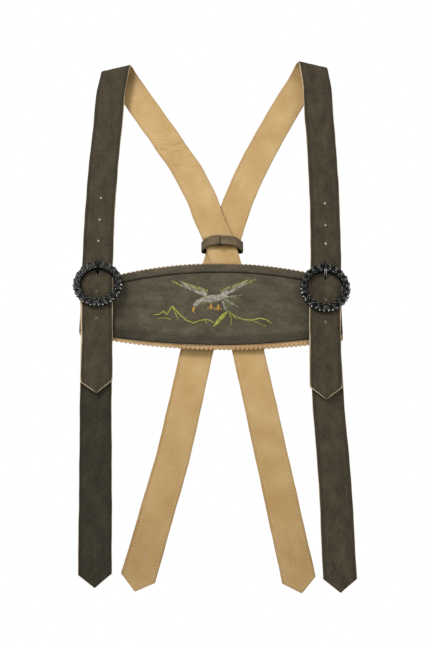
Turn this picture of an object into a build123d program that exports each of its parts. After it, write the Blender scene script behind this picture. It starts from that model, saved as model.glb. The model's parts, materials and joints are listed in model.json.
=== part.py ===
"""Leather suspenders: two shoulder straps that cross at the back, an embroidered chest panel,
two round prong buckles, and pointed tabs that button to the trousers.

Millimetres. +X is to the right seen from the front, -Y is the front, +Z is up. The origin is on the
shoulder line, midway between the two straps: the suspenders hang from it as they are worn.
"""

from build123d import *
import math
import os

# ---------------------------------------------------------------- driving dimensions

strap_width = 35.0       # shoulder straps, tails and back tabs
tab_width = 34.4         # front tabs, which pass inside the buckle's lugs
suede = 1.3              # outer layer of every strap
lining = 1.08            # inner layer
glue_line = 0.02         # between the two layers
ply = suede + glue_line + lining
end_point = 13.5         # how far the tip of a pointed end stands beyond its corners

shoulder_hinge_z = -19.0
flex_gap = 1.4           # room over a rounded end that swings through 45 degrees
tail_flex_gap = 2.3      # and through 60 degrees

front_strap_y = -10.0    # mid-plane of the front straps
strap_lift = 1.4         # how far the strap bows forward over the buckle's bar
lift_flat = 3.0          # half height of the bow's flat top
lift_end = 16.0          # where the bow has died out, above and below the bar
hole_radius = 1.5
prong_slot = (3.4, 12.9)  # low and high end of the opening that the moving prong needs
prong_slot_width = 3.4

slit_length = 24.0
slit_width = 1.2

bar_y = -7.3
bar_radius = 1.5
bar_reach = 20.6         # half length of the bar, into the lugs
running_clearance = 0.05

ring_radius = 26.4
rim_bead_radius = 2.4
rim_bead_count = 30
rim_bead_inset = 1.0     # from the ring's edge in to the middle of the beads
opening_half_width = 19.0
opening_half_height = 18.0
ring_front = -10.0       # depths from the bar's axis
ring_back = -5.5
lug_back = 1.9
lug_width = 5.6
lug_height = 5.6

prong_width = 2.6
prong_thickness = 2.0
prong_eye_radius = 2.7
prong_rest_depth = -7.8  # floor of the notch in the ring that the prong lies in
prong_notch_play = 0.8
prong_gap_room = 3.0     # above and below the eye, in the tab's turned end

tab_front_y = -8.6
tab_hinge_y = tab_front_y + ply / 2
tab_return_length = 25.0  # how far the turned-back end runs down behind the tab
tab_lining_start = 12.0
tab_overlap = 20.0       # how far the sewn part's side view runs past the flex line

panel_front_y = -4.4
panel_face_thickness = 1.4
panel_backing_thickness = 1.2
panel_left = -151.0
panel_right = 142.0
panel_middle_x = 4.0
panel_top_z = -264.5
panel_bottom_z = -362.0
panel_top_drop = 23.5    # how far the top edge falls from the middle to the ends
panel_bottom_rise = 14.0
backing_top_border = 2.8
backing_bottom_border = 5.6
pinking_pitch = 5.8
pinking_depth = 2.2

thread_height = 0.4
topstitch_inset = 10.5
topstitch_half_span = 96.0
topstitch_pitch = 4.2
topstitch_length = 3.0
topstitch_width = 0.6

keeper_z = -237.0
keeper_height = 11.0
keeper_middle_x = 8.4
keeper_half_width = 22.8  # inside
keeper_thickness = 1.6
keeper_inner_front = 1.8
keeper_inner_back = 8.2
keeper_bulge = 3.0
keeper_stitch = (3.0, 0.7)

beyond = 900.0           # longer than any part
past_edges = 60.0        # from a strap's middle, clear of both its edges
lead_in = 14.0           # straight run that the back strap's outline starts with, over the fold


class Side:
    """Where one shoulder strap runs, from its front tail over the shoulder to its back tab."""

    def __init__(self, name, hand, front_arc, fold_point, fold_tilt, fold_skew, back_y,
                 back_route, back_tip, back_hinge_z, bar_x, bar_z, tail_tip, tab_tip, tab_hinge_z,
                 front_slit_z, back_slit_drop, holes, tail_hole_z):
        self.name = name
        self.hand = hand                # -1 on the left, +1 on the right
        self.front_arc = front_arc      # (x, z) above the fold, midway, and on the tail's flex line
        self.fold_point = fold_point    # where the centre line meets the fold
        self.fold_tilt = fold_tilt      # the fold line rises towards the neck, degrees
        self.fold_skew = fold_skew      # between the strap and the square to the fold, degrees
        self.back_y = back_y            # mid-plane of the back strap
        self.back_route = back_route    # points (x, z) below the fold
        self.back_tip = back_tip
        self.back_hinge_z = back_hinge_z
        self.bar_x = bar_x
        self.bar_z = bar_z
        self.tail_tip = tail_tip
        self.tab_tip = tab_tip
        self.tab_hinge_z = tab_hinge_z
        self.front_slit_z = front_slit_z
        self.back_slit_drop = back_slit_drop
        self.holes = holes              # heights of the adjusting holes above the tail
        self.tail_hole_z = tail_hole_z


left = Side(
    "left", -1,
    front_arc=[(-122.4, 1.0), (-133.4, -189.0), (-131.7, -327.0)],
    fold_point=(-123.4, -8.5), fold_tilt=13.4, fold_skew=18.5, back_y=3.6,
    back_route=[(-58.0, -99.0), (-3.0, -195.0), (36.0, -361.0)],
    back_tip=(88.0, -625.0), back_hinge_z=-470.0,
    bar_x=-132.9, bar_z=-293.0, tail_tip=(-127.5, -419.5),
    tab_tip=(-120.8, -620.4), tab_hinge_z=-439.0, front_slit_z=-580.0, back_slit_drop=118.0,
    holes=[-183.0, -211.0, -238.0, -301.5], tail_hole_z=-333.0,
)
right = Side(
    "right", 1,
    front_arc=[(121.2, 6.0), (127.9, -169.0), (122.2, -331.0)],
    fold_point=(121.9, -3.6), fold_tilt=12.3, fold_skew=16.3, back_y=6.4,
    back_route=[(44.0, -137.0), (8.0, -237.0), (-40.0, -469.0)],
    back_tip=(-81.5, -623.0), back_hinge_z=-480.0,
    bar_x=124.4, bar_z=-297.0, tail_tip=(119.2, -426.5),
    tab_tip=(125.9, -625.0), tab_hinge_z=-446.0, front_slit_z=-585.5, back_slit_drop=106.0,
    holes=[-190.0, -218.0, -241.5, -311.0], tail_hole_z=-337.5,
)
sides = [left, right]

# ---------------------------------------------------------------- building blocks


def slab(outline, front, back):
    """A flat layer: an outline drawn in X and Z, between two depths."""
    return extrude(Plane.XZ.offset(-back) * outline, amount=back - front, dir=(0, -1, 0))


def cross_slab(profile, low_x, high_x):
    """A solid whose profile is drawn in Y and Z, between two X positions."""
    return extrude(Plane.YZ.offset(low_x) * profile, amount=high_x - low_x, dir=(1, 0, 0))


def strap_slab(profile, middle_x):
    """A solid with a profile in Y and Z, wide enough to take in a strap about an X position."""
    return cross_slab(profile, middle_x - past_edges, middle_x + past_edges)


def band(low_z, high_z):
    """Everything between two heights, drawn in X and Z."""
    return Pos(0, (low_z + high_z) / 2) * Rectangle(beyond, high_z - low_z)


def above(hinge, tip, gap):
    """Everything above the line square to a strap end, a gap above its flex line, in X and Z."""
    return Pos(*hinge) * Rot(0, 0, lean(hinge, tip)) * Pos(0, gap + beyond / 2) * Rectangle(beyond, beyond)


def rounded_side_view(hinge_z, front, back):
    """Side view of a layer hanging from a flex line on Y = 0: its top is rounded about the line."""
    top = (Circle(ply / 2) & Pos(0, ply / 2) * Rectangle(2 * ply, ply))
    body = Pos(0, -beyond / 2) * Rectangle(2 * ply, beyond)
    layer = Pos((front + back) / 2, 0) * Rectangle(back - front, 2 * beyond)
    return Pos(0, hinge_z) * ((top + body) & layer)


def toward(start, end, distance):
    """The point at a distance from start on the way to end."""
    length = math.dist(start, end)
    return tuple(a + (b - a) * distance / length for a, b in zip(start, end))


def toward_height(start, end, z):
    """The point at a height on the line from start to end."""
    share = (z - start[1]) / (end[1] - start[1])
    return (start[0] + (end[0] - start[0]) * share, z)


def lean(top, bottom):
    """How far a line leans from the vertical, in degrees, positive when its foot is to the right."""
    return math.degrees(math.atan2(bottom[0] - top[0], top[1] - bottom[1]))


def smooth_route(points):
    """Straight runs joined by tangent arcs as large as the runs allow."""
    radii = []
    for before, corner, after in zip(points, points[1:], points[2:]):
        turn = math.radians(abs(lean(before, corner) - lean(corner, after)))
        run = min(math.dist(before, corner), math.dist(corner, after))
        radii.append(0.45 * run / math.tan(turn / 2))
    return FilletPolyline(*points, radius=radii)


def ribbon(line, width=strap_width):
    """The outline of a strip along a centre line."""
    return Sketch(trace(line, width).faces())


def strap_end(hinge, tip, middle_y, width, front, back, openings):
    """One layer of a straight strap end with a two-sided point, rounded about its flex line.

    The openings are drawn about the hinge, as if the end hung straight down.
    """
    half = width / 2
    length = math.dist(hinge, tip)
    outline = Polygon(
        (-half, end_point - length), (0, -length), (half, end_point - length), (half, ply), (-half, ply),
        align=None,
    )
    layer = slab(outline - openings, -ply, ply) & strap_slab(rounded_side_view(0, front, back), 0)
    return Pos(hinge[0], middle_y, hinge[1]) * Rot(0, -lean(hinge, tip), 0) * layer


def slit(drop):
    """An upright buttonhole, its middle a given way below the flex line."""
    return Pos(0, -drop) * Rot(0, 0, 90) * SlotOverall(slit_length, slit_width)


def arc_x(points, z):
    """The centre line's X at a height, on the arc through three points."""
    return (ThreePointArc(*points) & Line((-beyond, z), (beyond, z))).X


# ---------------------------------------------------------------- front strap


def bowed_profile(side, front, back):
    """Side view of a front strap layer: upright, bowed forward where it crosses the buckle's bar."""
    middle = [
        (0, 0),
        (0, side.bar_z + lift_end),
        (-strap_lift, side.bar_z + lift_flat),
        (-strap_lift, side.bar_z - lift_flat),
        (0, side.bar_z - lift_end),
        (0, side.bar_z - beyond),
    ]
    near = [(front_strap_y + front + y, z) for y, z in middle]
    far = [(front_strap_y + back + y, z) for y, z in reversed(middle)]
    return Polygon(*near, *far, align=None)


def front_strap_openings(side):
    """The adjusting holes above the tail, with a longer opening where the prong moves."""
    holes = Sketch()
    for z in side.holes:
        holes += Pos(arc_x(side.front_arc, z), z) * Circle(hole_radius)
    low, high = prong_slot
    opening = Pos(side.bar_x, side.bar_z + (low + high) / 2) * Rectangle(prong_slot_width, high - low)
    return holes + opening


def front_strap_layer(side, front, back):
    foot = above(side.front_arc[2], side.tail_tip, tail_flex_gap)
    outline = (ribbon(ThreePointArc(*side.front_arc)) & foot) - front_strap_openings(side)
    profile = bowed_profile(side, front, back)
    profile &= Pos(front_strap_y, 0) * rounded_side_view(shoulder_hinge_z, -2 * ply, 2 * ply)
    return slab(outline, -past_edges, 0) & strap_slab(profile, side.bar_x)


def tail_layer(side, front, back):
    hinge = side.front_arc[2]
    hole = Pos(0, side.tail_hole_z - hinge[1]) * Circle(hole_radius)
    return strap_end(hinge, side.tail_tip, front_strap_y, strap_width, front, back, hole)


# ---------------------------------------------------------------- shoulder fold and back strap


def fold_radius(side):
    return (side.back_y - front_strap_y) / 2


def back_start(side):
    """Where the centre line comes down behind the shoulder, shifted along the fold."""
    shift = math.pi * fold_radius(side) * math.tan(math.radians(side.fold_skew))
    tilt = math.radians(side.fold_tilt)
    x = side.fold_point[0] - side.hand * shift * math.cos(tilt)
    return (x, side.fold_point[1] + shift * math.sin(tilt))


def below_fold(side):
    """Everything under the fold line, drawn in X and Z."""
    tilt = -side.hand * side.fold_tilt
    return Pos(*side.fold_point) * Rot(0, 0, tilt) * Pos(0, -beyond / 2) * Rectangle(beyond, beyond)


def back_hinge_point(side):
    return toward_height(side.back_route[-1], side.back_tip, side.back_hinge_z)


def fold_layer(side, inner, outer):
    """Half a pipe over the shoulder, its ends slanted as the strap crosses the fold."""
    radius = fold_radius(side)
    half = strap_width / 2 / math.cos(math.radians(side.fold_skew))
    shift = -side.hand * math.pi * radius * math.tan(math.radians(side.fold_skew))
    ring = (Circle(outer) - Circle(inner)) & Pos(0, outer) * Rectangle(4 * outer, 2 * outer)
    pipe = strap_slab(ring, 0)
    edge = 2 * radius
    corners = [
        (-half - shift / 2, -edge), (half - shift / 2, -edge),
        (half + 3 * shift / 2, edge), (-half + 3 * shift / 2, edge),
    ]
    wedge = extrude(Polygon(*corners, align=None), amount=3 * radius, dir=(0, 0, 1))
    place = Pos(side.fold_point[0], front_strap_y + radius, side.fold_point[1])
    return place * Rot(0, side.hand * side.fold_tilt, 0) * (pipe & wedge)


def shoulder_layer(side, front, back):
    """Front stub, fold and back strap in one piece; front and back are depths in the front strap."""
    radius = fold_radius(side)
    stub = ribbon(ThreePointArc(*side.front_arc)) & below_fold(side)
    stub &= band(shoulder_hinge_z + flex_gap, past_edges)
    start = back_start(side)
    lead = toward(start, side.back_route[0], -lead_in)
    hinge = back_hinge_point(side)
    foot = toward(hinge, side.back_route[-1], flex_gap)
    back_outline = ribbon(smooth_route([lead, *side.back_route, foot])) & below_fold(side)
    return (
        slab(stub, front_strap_y + front, front_strap_y + back)
        + fold_layer(side, radius - back, radius - front)
        + slab(back_outline, side.back_y - back, side.back_y - front)
    )


def back_tab_layer(side, front, back):
    """On the back strap the suede faces backward, so the depths turn round."""
    hinge = back_hinge_point(side)
    opening = slit(side.back_slit_drop)
    return strap_end(hinge, side.back_tip, side.back_y, strap_width, -back, -front, opening)


# ---------------------------------------------------------------- front tab


def tab_outline(side):
    """The tab's sewn part, from its turn over the bar to its flex line."""
    top = (side.bar_x, side.bar_z)
    strip = Pos(*top) * Rot(0, 0, lean(top, side.tab_tip)) * Rectangle(tab_width, beyond)
    return strip & above(tab_hinge_point(side), side.tab_tip, flex_gap)


def tab_suede_part(side):
    """The suede comes up the front, turns over the bar and runs down behind."""
    inner = bar_radius + running_clearance
    outer = inner + suede
    z = side.bar_z
    turn = (Circle(outer) - Circle(inner)) & Pos(0, outer) * Rectangle(4 * outer, 2 * outer)
    foot = side.tab_hinge_z - tab_overlap
    front_leg = Polygon(
        (bar_y - outer, z), (bar_y - outer, z - lift_flat),
        (tab_front_y, z - tab_lining_start), (tab_front_y, foot),
        (tab_front_y + suede, foot), (tab_front_y + suede, z - tab_lining_start),
        (bar_y - inner, z - lift_flat), (bar_y - inner, z),
        align=None,
    )
    back_leg = Polygon(
        (bar_y + outer, z), (bar_y + inner, z),
        (bar_y + inner, z - tab_return_length), (bar_y + outer, z - tab_return_length),
        align=None,
    )
    profile = Pos(bar_y, z) * turn + front_leg + back_leg
    body = slab(tab_outline(side), -past_edges, 0) & strap_slab(profile, side.bar_x)
    gap_height = 2 * (prong_eye_radius + prong_gap_room)
    prong_gap = Pos(side.bar_x, bar_y, z) * Box(2 * prong_width, 4 * outer, gap_height)
    return body - prong_gap


def tab_lining_part(side):
    outline = tab_outline(side) & band(side.tab_hinge_z, side.bar_z - tab_lining_start)
    return slab(outline, tab_front_y + suede + glue_line, tab_front_y + ply)


def tab_hinge_point(side):
    return toward_height((side.bar_x, side.bar_z), side.tab_tip, side.tab_hinge_z)


def tab_end_layer(side, front, back):
    hinge = tab_hinge_point(side)
    opening = slit(side.tab_hinge_z - side.front_slit_z)
    return strap_end(hinge, side.tab_tip, tab_hinge_y, tab_width, front, back, opening)


# ---------------------------------------------------------------- buckle


def buckle_place(side):
    return Pos(side.bar_x, bar_y, side.bar_z)


def buckle_frame(side):
    """Round frame with a beaded rim, a notch for the prong and two lugs that hold the bar."""
    opening = Ellipse(opening_half_width, opening_half_height)
    frame = slab(Circle(ring_radius) - opening, ring_front, ring_back)
    rim_depth = (ring_front + ring_back) / 2
    for count in range(rim_bead_count):
        angle = 2 * math.pi * count / rim_bead_count
        x = (ring_radius - rim_bead_inset) * math.cos(angle)
        z = (ring_radius - rim_bead_inset) * math.sin(angle)
        frame += Pos(x, rim_depth, z) * Sphere(rim_bead_radius)
    notch_height = ring_radius + rim_bead_radius
    notch_depth = 2 * (prong_rest_depth - ring_front)
    notch = Box(prong_width + prong_notch_play, 2 * notch_depth, 2 * notch_height)
    notch = Pos(0, prong_rest_depth - notch_depth, notch_height) * notch
    frame -= notch
    bore = Rot(0, 90, 0) * Cylinder(bar_radius, 2 * bar_reach)
    for hand in (-1, 1):
        depth = lug_back - ring_back
        middle = (lug_back + ring_back) / 2
        lug_x = hand * (opening_half_width + lug_width / 2)
        frame += Pos(lug_x, middle, 0) * Box(lug_width, depth, lug_height)
    return buckle_place(side) * (frame - bore)


def buckle_bar(side):
    return buckle_place(side) * Rot(0, 90, 0) * Cylinder(bar_radius, 2 * bar_reach)


def buckle_prong(side):
    """An eye that turns on the bar and a shank that rises through the strap to the ring."""
    shank_line = FilletPolyline(
        (-0.9, 1.9), (-1.6, 7.0), (-8.95, 16.0), (-8.95, 30.0), radius=[1.5, 3.0],
    )
    half = prong_width / 2
    shank = cross_slab(ribbon(shank_line, prong_thickness), -half, half)
    eye = Rot(0, 90, 0) * Cylinder(prong_eye_radius, prong_width)
    bore = Rot(0, 90, 0) * Cylinder(bar_radius + running_clearance, 2 * prong_width)
    return buckle_place(side) * (eye + shank - bore)


# ---------------------------------------------------------------- chest panel


def panel_edge_z(x, middle_z, end_change):
    """The panel's top and bottom edges are shallow curves about its middle."""
    reach = (panel_right - panel_left) / 2
    return middle_z + end_change * ((x - panel_middle_x) / reach) ** 2


def panel_top(x):
    return panel_edge_z(x, panel_top_z, -panel_top_drop)


def panel_bottom(x):
    return panel_edge_z(x, panel_bottom_z, panel_bottom_rise)


def panel_face():
    middle = (panel_left + panel_right) / 2
    top_left = (panel_left, panel_top(panel_left))
    top_right = (panel_right, panel_top(panel_right))
    bottom_left = (panel_left, panel_bottom(panel_left))
    bottom_right = (panel_right, panel_bottom(panel_right))
    edges = [
        ThreePointArc(top_left, (middle, panel_top(middle)), top_right),
        Line(top_right, bottom_right),
        ThreePointArc(bottom_right, (middle, panel_bottom(middle)), bottom_left),
        Line(bottom_left, top_left),
    ]
    return slab(make_face(edges), panel_front_y, panel_front_y + panel_face_thickness)


def panel_backing():
    """The backing stands out past the face, with a pinked edge above and below."""
    tooth_count = round((panel_right - panel_left) / pinking_pitch)
    pitch = (panel_right - panel_left) / tooth_count
    top = []
    bottom = []
    for count in range(2 * tooth_count + 1):
        x = panel_left + count * pitch / 2
        valley = pinking_depth * (1 - count % 2)
        top.append((x, panel_top(x) + backing_top_border - valley))
        bottom.append((x, panel_bottom(x) - backing_bottom_border + valley))
    front = panel_front_y + panel_face_thickness + glue_line
    return slab(Polygon(*top, *reversed(bottom), align=None), front, front + panel_backing_thickness)


def panel_topstitch():
    """One row of thread along the panel's upper edge, a separate stitch at a time."""
    stitches = []
    count = int(2 * topstitch_half_span / topstitch_pitch)
    for step in range(count + 1):
        x = panel_middle_x - topstitch_half_span + step * topstitch_pitch
        slope = math.degrees(math.atan2(panel_top(x + 1) - panel_top(x - 1), 2))
        mark = Pos(x, panel_top(x) - topstitch_inset) * Rot(0, 0, slope)
        mark *= Rectangle(topstitch_length, topstitch_width)
        stitches.append(slab(mark, panel_front_y - thread_height, panel_front_y))
    return Compound(stitches)


def embroidery(outlines):
    threads = [
        slab(Polygon(*points, align=None), panel_front_y - thread_height, panel_front_y)
        for points in outlines
    ]
    return Compound(threads)


soaring_bird = [
    (-46, -282), (-30, -287), (-14, -291), (-6, -296), (6, -290), (24, -284), (43, -281),
    (34, -290), (20, -298), (8, -304), (22, -311), (18, -318), (2, -311), (-10, -310), (-23, -316),
    (-18, -305), (-32, -296),
]
near_ridge = [
    (-70, -325), (-58, -319), (-48, -314), (-38, -323), (-25, -333), (2, -335.5), (2, -338.5),
    (-27, -336), (-42, -326), (-48, -318.5), (-60, -324),
]
far_ridge = [
    (5, -337), (12, -321), (22, -327), (32, -330), (45, -333), (62, -335.5), (62, -337.5),
    (30, -337.5),
]
beak = [(-24, -317), (-29, -321), (-23, -320)]
talons = [(-7, -313), (6, -314), (2, -321), (-5, -320)]

# ---------------------------------------------------------------- keeper


def keeper_outline(grow):
    """The keeper seen from above: a flat back and a front that bulges forward."""
    half = keeper_half_width + grow
    front = keeper_inner_front - grow
    back = keeper_inner_back + grow
    corners = [
        ThreePointArc((-half, front), (0, front - keeper_bulge), (half, front)),
        Line((half, front), (half, back)),
        Line((half, back), (-half, back)),
        Line((-half, back), (-half, front)),
    ]
    return Pos(keeper_middle_x, 0) * make_face(corners)


def keeper_loop():
    wall = keeper_outline(keeper_thickness) - keeper_outline(0)
    return Pos(0, 0, keeper_z - keeper_height / 2) * extrude(wall, amount=keeper_height, dir=(0, 0, 1))


def keeper_seam():
    """Three cross stitches close the butt joint at the middle of the keeper's front."""
    front = keeper_inner_front - keeper_bulge - keeper_thickness
    stitch = Box(keeper_stitch[0], thread_height, keeper_stitch[1])
    stitches = []
    for step in (-1, 0, 1):
        z = keeper_z + step * keeper_height / 4
        stitches.append(Pos(keeper_middle_x, front - thread_height / 2, z) * stitch)
    return Compound(stitches)


# ---------------------------------------------------------------- all parts

suede_depths = (-ply / 2, -ply / 2 + suede)
lining_depths = (-ply / 2 + suede + glue_line, ply / 2)

parts = {
    "chest_panel_face": panel_face(),
    "chest_panel_backing": panel_backing(),
    "panel_topstitch": panel_topstitch(),
    "embroidery_bird": embroidery([soaring_bird]),
    "embroidery_ridge": embroidery([near_ridge, far_ridge]),
    "embroidery_accent": embroidery([beak, talons]),
    "keeper_loop": keeper_loop(),
    "keeper_seam": keeper_seam(),
}
for side in sides:
    parts[side.name + "_shoulder_suede"] = shoulder_layer(side, *suede_depths)
    parts[side.name + "_shoulder_lining"] = shoulder_layer(side, *lining_depths)
    parts[side.name + "_front_suede"] = front_strap_layer(side, *suede_depths)
    parts[side.name + "_front_lining"] = front_strap_layer(side, *lining_depths)
    parts[side.name + "_tail_suede"] = tail_layer(side, *suede_depths)
    parts[side.name + "_tail_lining"] = tail_layer(side, *lining_depths)
    parts[side.name + "_tab_suede"] = tab_suede_part(side)
    parts[side.name + "_tab_lining"] = tab_lining_part(side)
    parts[side.name + "_tab_end_suede"] = tab_end_layer(side, *suede_depths)
    parts[side.name + "_tab_end_lining"] = tab_end_layer(side, *lining_depths)
    parts[side.name + "_back_tab_suede"] = back_tab_layer(side, *suede_depths)
    parts[side.name + "_back_tab_lining"] = back_tab_layer(side, *lining_depths)
    parts[side.name + "_buckle_frame"] = buckle_frame(side)
    parts[side.name + "_buckle_bar"] = buckle_bar(side)
    parts[side.name + "_buckle_prong"] = buckle_prong(side)

os.makedirs("parts", exist_ok=True)
for node, shape in parts.items():
    export_step(shape, f"parts/{node}.step")
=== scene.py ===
"""Looks of the leather suspenders: suede straps with a tan lining, an embroidered chest panel,
two ornate round buckles and a keeper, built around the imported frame.

Shapes are worked out in millimetres in the frame's axes, and become metres when a mesh is made.
"""

import bmesh
import bpy
import json
import math
import numpy as np
import random
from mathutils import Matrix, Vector


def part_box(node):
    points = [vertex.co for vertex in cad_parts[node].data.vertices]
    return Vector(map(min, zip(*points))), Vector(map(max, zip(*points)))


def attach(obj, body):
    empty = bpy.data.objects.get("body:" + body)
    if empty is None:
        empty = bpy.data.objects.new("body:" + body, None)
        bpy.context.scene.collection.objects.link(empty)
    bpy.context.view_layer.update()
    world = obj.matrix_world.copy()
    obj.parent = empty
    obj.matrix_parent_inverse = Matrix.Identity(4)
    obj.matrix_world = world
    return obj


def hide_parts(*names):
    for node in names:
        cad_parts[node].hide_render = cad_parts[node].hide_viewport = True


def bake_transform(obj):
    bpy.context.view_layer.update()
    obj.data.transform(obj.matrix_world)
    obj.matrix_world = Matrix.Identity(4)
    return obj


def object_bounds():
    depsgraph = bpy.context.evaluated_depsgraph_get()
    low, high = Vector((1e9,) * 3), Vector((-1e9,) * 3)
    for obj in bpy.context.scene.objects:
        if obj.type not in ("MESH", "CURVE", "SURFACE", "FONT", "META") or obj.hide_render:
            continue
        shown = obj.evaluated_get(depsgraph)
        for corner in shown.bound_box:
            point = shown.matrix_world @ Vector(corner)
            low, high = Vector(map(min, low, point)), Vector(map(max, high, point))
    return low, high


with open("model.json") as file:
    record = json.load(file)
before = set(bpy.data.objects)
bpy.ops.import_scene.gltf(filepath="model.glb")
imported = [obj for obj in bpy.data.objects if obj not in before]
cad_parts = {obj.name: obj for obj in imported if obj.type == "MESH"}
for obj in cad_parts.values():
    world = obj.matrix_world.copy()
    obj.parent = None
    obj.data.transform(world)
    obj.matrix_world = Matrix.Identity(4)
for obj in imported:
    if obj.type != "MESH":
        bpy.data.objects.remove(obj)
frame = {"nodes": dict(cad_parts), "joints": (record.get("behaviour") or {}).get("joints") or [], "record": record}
cad_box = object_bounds()

MM = 0.001
UV = "lay"                  # along and across each piece of leather, in metres
SHADE = "shade"             # how dark: painted shade and shadow, a rub mark and darker strap ends; and how creased, 0 to 1
joints = {joint["name"]: joint for joint in frame["joints"]}
mounts = {mount["name"]: mount for mount in frame["record"]["mounts"]}

# ---------------------------------------------------------------- driving dimensions

row_step = 3.4              # length of one row of mesh along a strap
end_point = 13.5            # how far a pointed end's tip stands beyond its corners
glued_side = {"suede": -0.10, "lining": -0.12}      # from the middle of the ply
hole_radius = {"suede": 1.45, "lining": 0.82}
holes = {                   # heights of the adjusting holes, the last one in the tail
    "left": (-183.0, -211.0, -238.0, -301.5, -333.0),
    "right": (-190.0, -218.0, -241.5, -311.0, -337.5),
}
prong_rise = {"left": 15.4, "right": 13.4}      # above the bar, where the prong comes through the strap
prong_reach = {"left": 27.4, "right": 30.2}     # its tip
prong_slot_low = {"suede": -3.5, "lining": -4.9}    # ends of its opening, from that place
prong_slot_high = {"left": 2.6, "right": 3.3}
prong_slot_width = 3.1
ring_shift = {"left": (1.4, 0.0), "right": (-1.0, -0.9)}        # the ring hangs a little off the bar's middle
ring_inner = {"left": (18.9, 17.8), "right": (19.5, 19.1)}      # half width and half height
ring_outer = {"left": (27.0, 26.4), "right": (27.2, 28.2)}
prong_notch = 2.0           # how far the opening is cut into the ring, for the prong
bar_flare = {"left": 0.7, "right": 1.1}         # each edge is pushed out where the strap bows over the bar
slit_length, slit_width = 24.0, 0.3
stitch_inset, stitch_pitch, stitch_length = 3.4, 4.2, 2.9
topstitch_inset, bottom_band = 10.0, 11.8       # of the panel's hem and of its pressed band

# ---------------------------------------------------------------- reading the frame


def box(node):
    low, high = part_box(node)
    return np.array(low) / MM, np.array(high) / MM


def points_of(node):
    mesh = frame["nodes"][node].data
    points = np.zeros(len(mesh.vertices) * 3)
    mesh.vertices.foreach_get("co", points)
    return points.reshape(-1, 3) / MM


def section(node, axis, value):
    """Where the node's edges cross a plane square to an axis."""
    mesh = frame["nodes"][node].data
    ends = np.zeros(len(mesh.edges) * 2, int)
    mesh.edges.foreach_get("vertices", ends)
    start, end = points_of(node)[ends.reshape(-1, 2).T]
    crossing = (start[:, axis] - value) * (end[:, axis] - value) < 0
    start, end = start[crossing], end[crossing]
    share = (value - start[:, axis]) / (end[:, axis] - start[:, axis])
    return start + (end - start) * share[:, None]


def middle_points(node, heights):
    """X and Z of the node's middle at each height."""
    points = []
    for z in heights:
        x = section(node, 2, z)[:, 0]
        points.append(np.array([(x.min() + x.max()) / 2, z]))
    return points


def flat(point):
    """X and Z of a point."""
    return np.array([point[0], point[2]])


def lowest(node):
    points = points_of(node)
    return flat(points[points[:, 2].argmin()])


def joint_point(name):
    return np.array(joints[name]["pos_m"]) / MM


# ---------------------------------------------------------------- lines and curves


def smooth_step(value, low, high):
    share = np.clip((value - low) / (high - low), 0, 1)
    return share * share * (3 - 2 * share)


def plateau(value, low, full, fading, gone):
    return smooth_step(value, low, full) * (1 - smooth_step(value, fading, gone))


def hump(value, middle, span):
    return np.exp(-((value - middle) / span) ** 2)


def travel(line):
    """How far along a line each of its points is."""
    return np.concatenate([[0], np.cumsum(np.linalg.norm(np.diff(line, axis=0), axis=1))])


def along(line, way, ways):
    """The points at these ways along a line."""
    return np.stack([np.interp(ways, way, line[:, k]) for k in range(line.shape[1])], axis=-1)


def unit(vectors):
    return vectors / np.maximum(np.linalg.norm(vectors, axis=-1, keepdims=True), 1e-9)


def right_of(ways):
    """The square to directions in a plane."""
    return np.stack([ways[..., 1], -ways[..., 0]], axis=-1)


def softened(line, times):
    line = line.copy()
    for _ in range(times):
        line[1:-1] = (line[:-2] + 2 * line[1:-1] + line[2:]) / 4
    return line


def cord_rings(line, sideways, outward, radius):
    turns = np.arange(6)[None, :, None] * math.pi / 3
    return line[:, None] + radius * (np.cos(turns) * sideways[:, None] + np.sin(turns) * outward[:, None])


def loop_of(face, back=None):
    """A closed ring for each row: the face's columns, then the back's in reverse."""
    return np.concatenate([face, (face if back is None else back)[:, ::-1]], axis=1)


def rounded_ends(count, *insets):
    """How far a surface falls away at both ends of a row of points."""
    fall = np.zeros(count)
    for k, inset in enumerate(insets):
        fall[k] = fall[-1 - k] = inset
    return fall


# ---------------------------------------------------------------- meshes


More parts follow.
